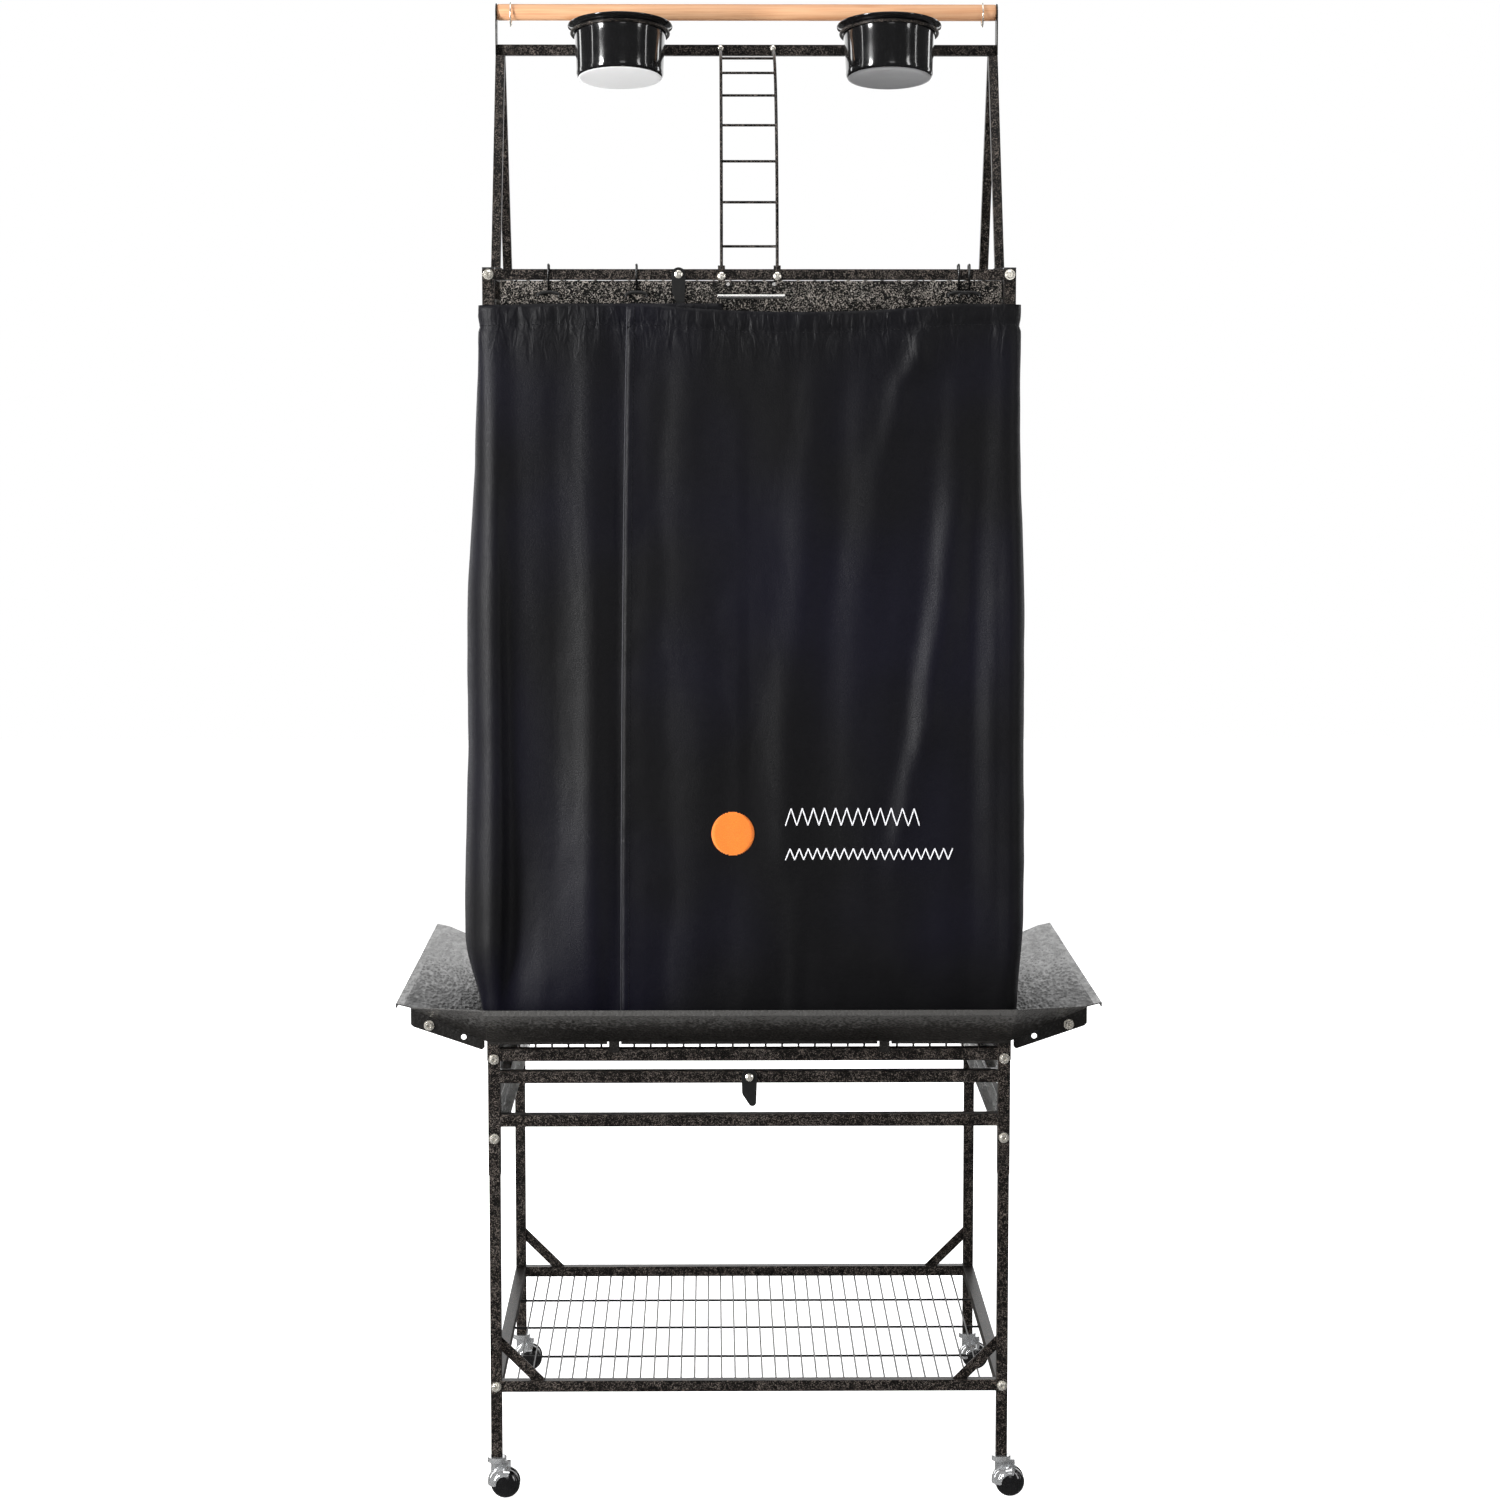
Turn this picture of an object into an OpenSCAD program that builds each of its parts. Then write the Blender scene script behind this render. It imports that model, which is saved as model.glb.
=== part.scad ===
// Play-top bird cage on a rolling stand, with a cloth cover.
// X to the right, Y to the back, Z up. Origin on the floor under the middle of the cage.

/* [Cage] */
// Width over the corner posts
cage_w = 604; // [560:2:680]
// Depth over the corner posts
cage_d = 560; // [520:2:640]
// Height of the top rail's upper face
cage_top_z = 1424; // [1380:1:1500]
// Side of the square corner posts
post = 14; // [13:0.5:16]
// Height of the posts' lower ends
post_foot_z = 383; // [360:1:400]
// Height of the top rails
top_rail_h = 12; // [10:1:14]
// Height of the three lower rails
rail_h = 14; // [12:1:15]
// Underside of the rail above the grate slot
grate_rail_z = 517; // [515:1:525]
// Underside of the rail between the grate slot and the tray slot
slot_rail_z = 491; // [488:1:494]
// Underside of the rail below the tray slot
tray_rail_z = 440; // [430:1:450]

/* [Stand] */
// Side of the square stand legs
leg = 12.8; // [11:0.1:12.8]
// Upper ends of the legs, inside the posts
leg_top_z = 450; // [440:1:480]
// Underside of the shelf frame
shelf_z = 126; // [110:1:160]
// Side of the shelf frame's square tube
shelf_tube = 13; // [11:0.5:14]
// Pitch of the shelf wires
shelf_pitch = 16; // [12:1:24]
// Reach of the corner braces along the leg and along the shelf
brace_reach = 51; // [40:1:70]

/* [Seed guard] */
// Thickness of the sheet
sheet = 1.2; // [0.8:0.1:2]
// Overhang of the side wings up to their lip
wing_reach = 88; // [70:1:110]
// Rise of the side wings
wing_rise = 38; // [25:1:50]
// Width of the flatter lip along the wings
lip_w = 16; // [8:1:24]
// Overhang of the front and rear panels
panel_reach = 80; // [60:1:100]
// Rise of the front and rear panels
panel_rise = 49; // [30:1:60]

/* [Play top] */
// Underside of the apex bar
apex_z = 1688; // [1640:1:1720]
// Height of the apex bar
apex_h = 13; // [10:1:16]
// Side of the A-frame tubes
a_tube = 11; // [8:1:12]
// Distance of the A-frame feet from the middle
a_foot_y = 126; // [90:1:160]
// Diameter of the top perch
perch_d = 20; // [16:1:26]
// Height of the top perch's axis
perch_z = 1739.5; // [1735:0.5:1745]
// Distance between the ladder rails
ladder_w = 63; // [50:1:90]
// Radius of the ladder's quarter circle
ladder_r = 274; // [270:1:276]
// Number of ladder rungs
rung_count = 7; // [5:1:9]

/* [Bowls] */
// Distance of the left bowl from the middle
left_bowl_x = 150; // [130:1:200]
// Distance of the right bowl from the middle
right_bowl_x = 167; // [130:1:200]
// Distance of the bowls' bases in front of the apex bar's middle
bowl_y = 92; // [91:1:96]
// Height of the bowls' bases
bowl_z = 1653; // [1648:1:1660]
// Diameter over the rim
bowl_d = 124; // [110:1:126]
// Width of the flared lip
bowl_lip = 8; // [6:0.5:9]
// Height of a bowl
bowl_h = 63; // [60:1:66]
// Backward lean of the bowls
bowl_tilt = 10.5; // [9:0.5:12]

/* [Top tray] */
// Width of the tray
tray_w = 568; // [540:1:570]
// Sideways place of the tray between the posts
tray_x = 2; // [-3:1:3]
// Depth of the tray's pan
tray_h = 37; // [25:1:40]

/* [Cover] */
// Height of the cover's upper edge
cover_top_z = 1383; // [1360:1:1390]
// Height of the cover's lower edge
cover_foot_z = 558; // [556:1:580]
// Thickness of the cloth wall
cloth = 1.6; // [1:0.1:2]
// Outward belly of the side walls
cover_belly = 12; // [4:1:20]

/* [Wire walls and door] */
// Diameter of the wall wires
wire_d = 2.6; // [2:0.2:3.2]
// Pitch of the wall wires
wire_pitch = 19; // [16:1:24]
// Width of the door
door_w = 280; // [220:10:300]
// Height of the door
door_h = 440; // [360:10:460]
// Underside of the door
door_z = 640; // [620:5:680]

/* [Casters] */
// Diameter of the wheels
wheel_d = 34; // [28:1:36]
// Distance of the axle behind the swivel axis
caster_trail = 10; // [8:1:12]
// Height of the casters
caster_h = 48; // [46:1:52]

/* [Hidden] */
$fn = 64;

// Colours
hammertone = [0.16, 0.15, 0.14];
nickel = [0.72, 0.69, 0.64];
zinc = [0.70, 0.70, 0.69];
gloss_black = [0.03, 0.03, 0.035];
natural_wood = [0.78, 0.66, 0.48];
cloth_black = [0.06, 0.055, 0.08];

half_w = cage_w / 2;
half_d = cage_d / 2;
post_x = half_w - post / 2;
post_y = half_d - post / 2;
inner_w = cage_w - 2 * post;
inner_d = cage_d - 2 * post;
tube_wall = 0.6;
wire_sides = 8;
overlap = 0.5;
rail_top_z = grate_rail_z + rail_h;
top_mid_z = cage_top_z - top_rail_h / 2;
axle_z = wheel_d / 2;

// ---------- shared shapes ----------

// Hollow square tube along X, Y or Z, centred on two axes and starting at 0 on the third
module tube_x(length, w, h) {
  difference() {
    translate([-length / 2, -w / 2, 0])
      cube([length, w, h]);
    translate([-length / 2 - 1, -w / 2 + tube_wall, tube_wall])
      cube([length + 2, w - 2 * tube_wall, h - 2 * tube_wall]);
  }
}

module tube_y(length, w, h) {
  rotate([0, 0, 90])
    tube_x(length, w, h);
}

module tube_z(side, low, high) {
  translate([-side / 2, -side / 2, low])
    difference() {
      cube([side, side, high - low]);
      translate([tube_wall, tube_wall, -1])
        cube([side - 2 * tube_wall, side - 2 * tube_wall, high - low + 2]);
    }
}

// Rails between the posts: front and rear, and the two sides
module cross_rails(z, h) {
  for (s = [-1, 1])
    translate([0, s * post_y, z])
      tube_x(inner_w, post, h);
}

module side_rails(z, h) {
  for (s = [-1, 1])
    translate([s * post_x, 0, z])
      tube_y(inner_d, post, h);
}

// Straight round wires
module wire_along_x(length, d) {
  rotate([0, 90, 0])
    rotate(22.5)
      cylinder(d = d, h = length, center = true, $fn = wire_sides);
}

module wire_along_y(length, d) {
  rotate([90, 0, 0])
    rotate(22.5)
      cylinder(d = d, h = length, center = true, $fn = wire_sides);
}

module wire_along_z(length, d) {
  rotate(22.5)
    cylinder(d = d, h = length, $fn = wire_sides);
}

// Button-head bolt with its washer, standing on the plane Y = 0 and facing -Y
bolt_washer_d = 12;
bolt_head_d = 9;
bolt_head_h = 3.6;
washer_t = 1;

module bolt() {
  socket_d = 4.6;
  socket_depth = 2;
  dome = 1.2;
  rotate([90, 0, 0])
    difference() {
      union() {
        cylinder(d = bolt_washer_d, h = washer_t);
        cylinder(d = bolt_head_d, h = washer_t + bolt_head_h - dome);
        translate([0, 0, washer_t + bolt_head_h - dome])
          cylinder(d1 = bolt_head_d, d2 = bolt_head_d - 2 * dome, h = dome);
      }
      translate([0, 0, washer_t + bolt_head_h - socket_depth])
        cylinder(d = socket_d, h = socket_depth + 1, $fn = 6);
    }
}

// Children copied to the left and right, mirrored
module both_sides() {
  for (m = [0, 1])
    mirror([m, 0, 0])
      children();
}

module front_and_rear() {
  for (m = [0, 1])
    mirror([0, m, 0])
      children();
}

// ---------- cage frame and stand ----------

module corner_post(sx, sy) {
  color(hammertone)
    translate([sx * post_x, sy * post_y, 0])
      tube_z(post, post_foot_z, cage_top_z);
}

cap_h = 2;

module post_caps() {
  plug = post - 2 * tube_wall;
  plug_depth = 10;
  color(gloss_black)
    both_sides() front_and_rear()
      translate([post_x, post_y, cage_top_z]) {
        translate([-post / 2, -post / 2, 0])
          cube([post, post, cap_h]);
        translate([-plug / 2, -plug / 2, -plug_depth])
          cube([plug, plug, plug_depth + overlap]);
      }
}

module stand_legs() {
  color(hammertone)
    both_sides() front_and_rear()
      translate([post_x, post_y, 0])
        tube_z(leg, caster_h, leg_top_z);
}

module top_rails() {
  color(hammertone) {
    cross_rails(cage_top_z - top_rail_h, top_rail_h);
    side_rails(cage_top_z - top_rail_h, top_rail_h);
  }
}

module grate_rails() {
  color(hammertone) {
    cross_rails(grate_rail_z, rail_h);
    side_rails(grate_rail_z, rail_h);
  }
}

module slot_rails() {
  color(hammertone)
    cross_rails(slot_rail_z, rail_h);
}

module tray_rails() {
  color(hammertone) {
    cross_rails(tray_rail_z, rail_h);
    side_rails(tray_rail_z, rail_h);
  }
}

// Two pairs of angle strips that the grate and the lower tray slide on
guide_flange = 12;
guide_web = 20;

module angle_strip(z) {
  translate([inner_w / 2 - guide_flange, -inner_d / 2, z])
    cube([guide_flange, inner_d, sheet]);
  translate([inner_w / 2 - sheet, -inner_d / 2, z])
    cube([sheet, inner_d, guide_web]);
}

module tray_guides() {
  color(zinc)
    both_sides() {
      angle_strip(tray_rail_z + rail_h);
      angle_strip(slot_rail_z + rail_h);
    }
}

module shelf_frame() {
  along = cage_w - post - leg;
  across = cage_d - post - leg;
  color(hammertone) {
    for (s = [-1, 1]) {
      translate([0, s * post_y, shelf_z])
        tube_x(along, shelf_tube, shelf_tube);
      translate([s * post_x, 0, shelf_z])
        tube_y(across, shelf_tube, shelf_tube);
    }
  }
}

shelf_wire_d = 2;
shelf_cross_d = 2.8;

module shelf_mesh() {
  length = 2 * post_y - shelf_tube;
  width = 2 * post_x - shelf_tube;
  count = floor((width - shelf_pitch) / shelf_pitch / 2);
  z = shelf_z + shelf_wire_d / 2 + shelf_cross_d;
  cross_z = z - shelf_wire_d / 2 - shelf_cross_d / 2 + overlap;
  color(zinc)
    for (i = [-count:count])
      translate([i * shelf_pitch, 0, z])
        wire_along_y(length, shelf_wire_d);
  color(hammertone)
    for (i = [-1:1])
      translate([0, i * length / 4, cross_z])
        wire_along_x(width, shelf_cross_d);
}

brace_w = 12;
brace_t = 2;

// 45 degree flats from each leg to the shelf rail, just inside the legs' faces
module shelf_braces() {
  inner_face = post_x - leg / 2;
  rail_face = shelf_z + shelf_tube;
  color(hammertone)
    both_sides() front_and_rear()
      translate([inner_face, post_y, rail_face])
        rotate([90, 0, 0])
          linear_extrude(brace_t)
            polygon([
              [0, brace_reach],
              [-brace_reach, 0],
              [-brace_reach + brace_w * sqrt(2), 0],
              [0, brace_reach - brace_w * sqrt(2)]
            ]);
}

bolt_levels = [132, 426, grate_rail_z + 2];

// Bolts of the stand, the rails and the seed guard's end strips
module frame_bolts() {
  color(nickel)
    front_and_rear() both_sides() {
      for (z = bolt_levels)
        translate([post_x, z < post_foot_z ? -post_y - leg / 2 : -half_d, z])
          bolt();
      translate([post_x, -half_d, top_mid_z])
        bolt();
    }
  color(nickel)
    both_sides() {
      translate([wing_bolt[0], -wing_front, wing_bolt[1]])
        bolt();
      translate([wing_bolt[0], wing_rear, wing_bolt[1]])
        mirror([0, 1, 0])
          bolt();
    }
}

// ---------- seed guard ----------

wing_z = 540;
wing_out = half_w + 1 + wing_reach;
wing_front = half_d - 8;
wing_rear = half_d + 77;
flange_w = 22;
wing_hole = [half_w + 28, wing_z + 4];
wing_hole_d = 6.4;
wing_bolt = [half_w + 68, wing_z + 17.5];
guard_flange_z = 537;

function wing_height(x) = wing_z + (x - half_w - 1) * wing_rise / wing_reach;

// End strip of a wing, standing under its front or rear edge
module wing_end() {
  start = half_w + 4;
  corner = 3;
  difference() {
    linear_extrude(sheet)
      polygon([
        [start, wing_height(start)],
        [wing_out, wing_height(wing_out)],
        [wing_out, wing_height(wing_out) - flange_w + corner],
        [wing_out - corner, wing_height(wing_out) - flange_w],
        [start + corner, wing_z - 11],
        [start, wing_z - 11 + corner]
      ]);
    translate([wing_hole[0], wing_hole[1], -1])
      cylinder(d = wing_hole_d, h = sheet + 2);
  }
}

// One wing, on the right side; it runs on behind the rear post, beside the rear panel
module wing() {
  hem = 4;
  translate([0, wing_rear, 0])
    rotate([90, 0, 0])
      linear_extrude(wing_front + wing_rear)
        polygon([
          [half_w + sheet, wing_z - 24],
          [half_w + sheet, wing_z],
          [wing_out, wing_z + wing_rise],
          [wing_out + lip_w, wing_z + wing_rise + 4],
          [wing_out + lip_w, wing_z + wing_rise + 4 - hem],
          [wing_out + lip_w + sheet, wing_z + wing_rise + 4 - hem],
          [wing_out + lip_w + sheet, wing_z + wing_rise + 4 + sheet],
          [wing_out, wing_z + wing_rise + sheet],
          [half_w, wing_z + sheet],
          [half_w, wing_z - 24]
        ]);
  for (y = [sheet - wing_front, wing_rear])
    translate([0, y, 0])
      rotate([90, 0, 0])
        wing_end();
}

module seed_guard_right() {
  color(hammertone)
    wing();
}

module seed_guard_left() {
  color(hammertone)
    mirror([1, 0, 0])
      wing();
}

tab_x = 156;
tab_w = 12;
notch_w = 2;
notch_h = 3;
panel_z = guard_flange_z + 3;
panel_gap = 1;
rear_panel_w = cage_w - 2;

// Corner ear between the front panel's end and the front edge of a wing
module ear() {
  y0 = half_d + panel_gap;
  wing_y = wing_front + 2 * sheet + 0.4;
  corners = [
    [half_w - sheet - overlap, -y0 - sheet, panel_z],
    [half_w - sheet - overlap, -y0 - panel_reach, panel_z + panel_rise],
    [wing_out - sheet, -wing_y, wing_z + wing_rise]
  ];
  hull()
    for (p = corners)
      translate(p)
        cube(sheet);
}

// Upright triangle that closes the rear panel's end beside a wing
module cheek() {
  y0 = half_d + panel_gap + sheet / 2;
  translate([rear_panel_w / 2 - sheet, 0, 0])
    rotate([90, 0, 90])
      linear_extrude(sheet)
        polygon([
          [-y0, panel_z + sheet / 2],
          [-y0 - panel_reach, panel_z + panel_rise + sheet / 2],
          [-y0 - panel_reach, panel_z]
        ]);
}

module guard_panel(width) {
  y0 = half_d + panel_gap;
  hem = 5;
  difference() {
    rotate([90, 0, 90])
      linear_extrude(width, center = true)
        polygon([
          [-y0, guard_flange_z],
          [-y0, panel_z + sheet],
          [-y0 - panel_reach, panel_z + panel_rise + sheet],
          [-y0 - panel_reach - sheet, panel_z + panel_rise + sheet],
          [-y0 - panel_reach - sheet, panel_z + panel_rise - hem],
          [-y0 - panel_reach, panel_z + panel_rise - hem],
          [-y0 - panel_reach, panel_z + panel_rise],
          [-y0 - sheet, panel_z],
          [-y0 - sheet, guard_flange_z]
        ]);
    for (s = [-1, 1], e = [-1, 1])
      translate([s * tab_x + e * (tab_w + notch_w) / 2 - notch_w / 2, -y0 - 2 * sheet, guard_flange_z - 1])
        cube([notch_w, 4 * sheet, notch_h + 1]);
  }
  for (s = [-1, 1])
    translate([s * tab_x - tab_w / 2, -y0 - sheet, rail_top_z - 4])
      cube([tab_w, sheet, guard_flange_z - rail_top_z + 4 + overlap]);
}

module seed_guard_front() {
  color(hammertone) {
    guard_panel(cage_w);
    both_sides()
      ear();
  }
}

module seed_guard_rear() {
  color(hammertone)
    mirror([0, 1, 0]) {
      guard_panel(rear_panel_w);
      both_sides()
        cheek();
    }
}

// ---------- top tray and roof ----------

tray_front_y = -half_d + 1;
tray_depth = cage_d - post - 4;
tray_top_z = cage_top_z - top_rail_h - 1;
tray_floor_z = tray_top_z - tray_h - 2;
lip_h = 8;

module top_tray() {
  color(hammertone)
    translate([tray_x - tray_w / 2, tray_front_y, tray_floor_z]) {
      difference() {
        cube([tray_w, tray_depth, tray_h]);
        translate([sheet, sheet, sheet])
          cube([tray_w - 2 * sheet, tray_depth - 2 * sheet, tray_h]);
      }
      translate([0, -1, tray_top_z - tray_floor_z - lip_h])
        cube([tray_w, 1 + sheet, lip_h]);
    }
}

module top_tray_guides() {
  drop = sheet;
  color(zinc)
    both_sides() {
      translate([inner_w / 2 - guide_flange, -inner_d / 2, tray_floor_z - drop])
        cube([guide_flange, inner_d, sheet]);
      translate([inner_w / 2 - sheet, -inner_d / 2, tray_floor_z - drop])
        cube([sheet, inner_d, guide_web]);
    }
}

handle_w = 76;
handle_d = 5;
handle_z = cage_top_z - 31;

module tray_handle() {
  stand = 8;
  color(zinc) {
    translate([tray_x, tray_front_y - stand, handle_z])
      rotate([0, 90, 0])
        cylinder(d = handle_d, h = handle_w, center = true);
    for (s = [-1, 1]) {
      translate([tray_x + s * (handle_w / 2 - 6), tray_front_y, handle_z])
        rotate([90, 0, 0])
          cylinder(d = handle_d - 1, h = stand);
      translate([tray_x + s * 26, tray_front_y - 1, tray_top_z - lip_h / 2])
        rotate([90, 0, 0])
          cylinder(d1 = 5.4, d2 = 4, h = 1.6);
    }
  }
}

roof_pitch = 20;

module top_grille() {
  count = floor(inner_w / roof_pitch / 2);
  z = top_mid_z;
  color(hammertone) {
    for (i = [-count:count])
      translate([i * roof_pitch, 0, z])
        wire_along_y(inner_d, wire_d);
    for (s = [-1, 1])
      translate([0, s * inner_d / 6, z - wire_d + overlap])
        wire_along_x(inner_w, wire_d);
  }
}

// ---------- play top ----------

// A-frame in the plane of one side: two leaning bars on foot plates
module a_frame(side) {
  rise = apex_z - cage_top_z;
  top_y = a_tube / 2;
  lean = atan((a_foot_y - top_y) / rise);
  half = a_tube / 2 / cos(lean);
  slope = (a_foot_y - top_y) / rise;
  foot_t = 2;
  foot_half = 17;
  plate_y = a_foot_y - slope * foot_t;
  right_half = [
    [a_foot_y + foot_half, 0],
    [a_foot_y + foot_half, foot_t],
    [plate_y + half, foot_t],
    [top_y + half, rise]
  ];
  inner_half = [
    [plate_y - half, foot_t],
    [a_foot_y - foot_half, foot_t],
    [a_foot_y - foot_half, 0]
  ];
  crotch = [0, (a_foot_y - half) / slope];
  color(hammertone)
    translate([side * (half_w - 1 - a_tube / 2), 0, cage_top_z])
      rotate([90, 0, 90])
        linear_extrude(a_tube, center = true)
          polygon(concat(
            right_half,
            [for (i = [3:-1:0]) [-right_half[i][0], right_half[i][1]]],
            [for (i = [2:-1:0]) [-inner_half[i][0], inner_half[i][1]]],
            [crotch],
            inner_half
          ));
}

module apex_bar() {
  color(hammertone)
    translate([0, 0, apex_z])
      tube_x(cage_w - 2 - 2 * plate_t, a_tube, apex_h);
}

plate_t = 1.5;
plate_w = 26;
plate_top_z = 1750;

// Round-topped plates on the ends of the apex bar
module end_plates() {
  color(hammertone)
    both_sides()
      translate([half_w - 1 - plate_t, 0, 0])
        difference() {
          union() {
            translate([0, -plate_w / 2, apex_z])
              cube([plate_t, plate_w, plate_top_z - plate_w / 2 - apex_z]);
            translate([0, 0, plate_top_z - plate_w / 2])
              rotate([0, 90, 0])
                cylinder(d = plate_w, h = plate_t);
          }
          translate([-1, 0, perch_z])
            rotate([0, 90, 0])
              cylinder(d = screw_hole_d, h = plate_t + 2);
        }
}

screw_hole_d = 5.2;

// Wooden perch with a turned spigot at each end that sits in the plates
module top_perch() {
  color(natural_wood)
    translate([0, 0, perch_z])
      rotate([0, 90, 0]) {
        cylinder(d = perch_d, h = cage_w - 2 - 2 * plate_t, center = true);
        cylinder(d = screw_hole_d - 0.2, h = cage_w - 2, center = true);
      }
}

ring_wire = 1.8;

// Loose toy rings that hang on the perch close to its ends
module perch_rings() {
  ring_r = perch_d / 2 + 4;
  color(nickel)
    both_sides()
      translate([half_w - 19, 0, perch_z + perch_d / 2 - ring_r + ring_wire / 2 + 0.2])
        rotate([0, 90, 0])
          rotate_extrude()
            translate([ring_r, 0])
              circle(d = ring_wire, $fn = 24);
}

// ---------- ladder ----------

ladder_wire = 3.6;
rung_d = 3;
ladder_y = -8;
ladder_foot_z = cage_top_z - 7;
rung_first = 6.8;
rung_last = 71;
ladder_bolt_z = ladder_foot_z - 1;
ladder_tab_t = 1.6;

module ladder_rail() {
  start = 1.5;
  sleeve_lap = 3;
  translate([0, ladder_y, ladder_foot_z]) {
    rotate([90, 0, -90])
      rotate([0, 0, start])
        rotate_extrude(angle = 90 - start, $fn = 96)
          translate([ladder_r, 0])
            circle(d = ladder_wire, $fn = 24);
    // A short sleeve joins the rail's upper end to the apex bar
    translate([0, -sleeve_lap, ladder_r])
      rotate([-90, 0, 0])
        cylinder(d = ladder_wire + 0.4, h = -ladder_y - a_tube / 2 + sleeve_lap, $fn = 24);
  }
}

module ladder() {
  tab_w = 8;
  tab_h = 17;
  tab_drop = 5;
  color(hammertone)
    difference() {
      union() {
        for (s = [-1, 1])
          translate([s * ladder_w / 2, 0, 0]) {
            ladder_rail();
            translate([-tab_w / 2, -half_d - ladder_tab_t, ladder_bolt_z - tab_drop])
              cube([tab_w, ladder_tab_t, tab_h]);
          }
        for (i = [0:rung_count - 1]) {
          angle = rung_first + (rung_last - rung_first) * i / (rung_count - 1);
          translate([0, ladder_y - ladder_r * cos(angle), ladder_foot_z + ladder_r * sin(angle)])
            rotate([0, 90, 0])
              cylinder(d = rung_d, h = ladder_w, center = true, $fn = 24);
        }
      }
      for (s = [-1, 1])
        translate([s * ladder_w / 2, -half_d + 1, ladder_bolt_z])
          rotate([90, 0, 0])
            cylinder(d = 4.1, h = 10);
    }
}

// Round head with a chamfered crown, standing on a face that looks to the front
module ladder_head(d, rim_t, crown_t) {
  rotate([90, 0, 0]) {
    cylinder(d = d, h = rim_t);
    translate([0, 0, rim_t])
      cylinder(d1 = d, d2 = 0.57 * d, h = crown_t);
  }
}

// Bolts through the ladder's tabs, and small heads on the apex bar just above its upper ends
module ladder_bolts() {
  shank_d = 4;
  low_head_d = 9;
  top_head_d = 7;
  color(nickel)
    for (s = [-1, 1]) {
      translate([s * ladder_w / 2, -half_d, ladder_bolt_z])
        rotate([90, 0, 0])
          cylinder(d = shank_d, h = ladder_tab_t + 1);
      translate([s * ladder_w / 2, -half_d - ladder_tab_t, ladder_bolt_z])
        ladder_head(low_head_d, 2, 1.4);
      translate([s * ladder_w / 2, -a_tube / 2, apex_z + apex_h - top_head_d / 2 - 1])
        ladder_head(top_head_d, 1.6, 1.2);
    }
}

// ---------- bowls ----------

bowl_foot_r = 52;
bowl_wall = 2;
ring_level = bowl_h - 9;
ring_d = 4;
ring_gap = 0.6;

function bowl_place(side) = side < 0 ? -left_bowl_x : right_bowl_x;
function bowl_radius(z) = bowl_foot_r + (bowl_d / 2 - bowl_lip - bowl_foot_r) * z / (bowl_h - 8);

module in_bowl_frame(side) {
  translate([bowl_place(side), -bowl_y, bowl_z])
    rotate([-bowl_tilt, 0, 0])
      children();
}

module bowl(side) {
  rim = bowl_d / 2;
  waist = rim - bowl_lip;
  foot = bowl_foot_r;
  color(gloss_black)
    in_bowl_frame(side)
      rotate_extrude($fn = 96)
        polygon([
          [0, 0],
          [foot - 2, 0],
          [foot, 2],
          [waist, bowl_h - 8],
          [rim, bowl_h - 2.5],
          [rim, bowl_h],
          [rim - 2, bowl_h],
          [waist - bowl_wall, bowl_h - 7],
          [foot - bowl_wall, 4],
          [foot - bowl_wall - 2, bowl_wall],
          [0, bowl_wall]
        ]);
}

// Ring under the bowl's lip, with two arms that reach back to the apex bar
module bowl_holder(side) {
  ring_r = bowl_radius(ring_level + ring_d) + ring_gap + ring_d / 2;
  arm_x = 30;
  arm_d = ring_d - 0.4;
  arm_start = sqrt(ring_r * ring_r - arm_x * arm_x);
  color(hammertone)
    difference() {
      in_bowl_frame(side) {
        translate([0, 0, ring_level])
          rotate_extrude($fn = 96)
            translate([ring_r, 0])
              circle(d = ring_d, $fn = 24);
        for (s = [-1, 1])
          translate([s * arm_x, arm_start, ring_level])
            rotate([-90, 0, 0])
              cylinder(d = arm_d, h = bowl_y, $fn = 24);
      }
      translate([bowl_place(side) - 2 * arm_x, -a_tube / 2, apex_z - 100])
        cube([4 * arm_x, 200, 200]);
    }
}

// ---------- latches ----------

latch_t = 1.6;
latch_gap = 0.3;
latch_hole = 4.1;
latch_top_x = -80;
latch_low_z = slot_rail_z + rail_h / 2;

// Fin-shaped lever that hangs from its pivot at the origin and turns about Y
module latch_lever(head_r, length) {
  tip_r = 4.5;
  translate([0, -latch_gap, 0])
    rotate([90, 0, 0])
      difference() {
        linear_extrude(latch_t)
          hull() {
            circle(r = head_r, $fn = 32);
            translate([head_r - tip_r - 1, -length + tip_r])
              circle(r = tip_r, $fn = 32);
            translate([-1, -length * 0.5])
              circle(r = head_r - 1.5, $fn = 32);
          }
        translate([0, 0, -1])
          cylinder(d = latch_hole, h = latch_t + 2);
      }
}

module latch_top() {
  color(hammertone)
    translate([latch_top_x, -half_d, top_mid_z])
      latch_lever(8, 36);
}

module latch_low() {
  color(hammertone)
    translate([0, -half_d, latch_low_z])
      latch_lever(9, 34);
}

module latch_pivot() {
  reach = latch_gap + latch_t + 0.2;
  rotate([90, 0, 0]) {
    cylinder(d = latch_hole - 0.1, h = reach + 1);
    translate([0, 0, reach])
      cylinder(d = 9, h = 2);
    translate([0, 0, reach + 2])
      cylinder(d1 = 9, d2 = 5, h = 1.2);
  }
}

module latch_pivots() {
  color(nickel) {
    translate([latch_top_x, -half_d, top_mid_z])
      latch_pivot();
    translate([0, -half_d, latch_low_z])
      latch_pivot();
  }
}

// ---------- cover ----------

hook_wire = 2;
hook_xs_front = [-227, -127.5, 237, 249];
hook_xs_rear = [-230, 10, 230];
hook_ys_side = [-150, 150];
clip_z = cage_top_z - 26;
hook_lift = 6;

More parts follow.
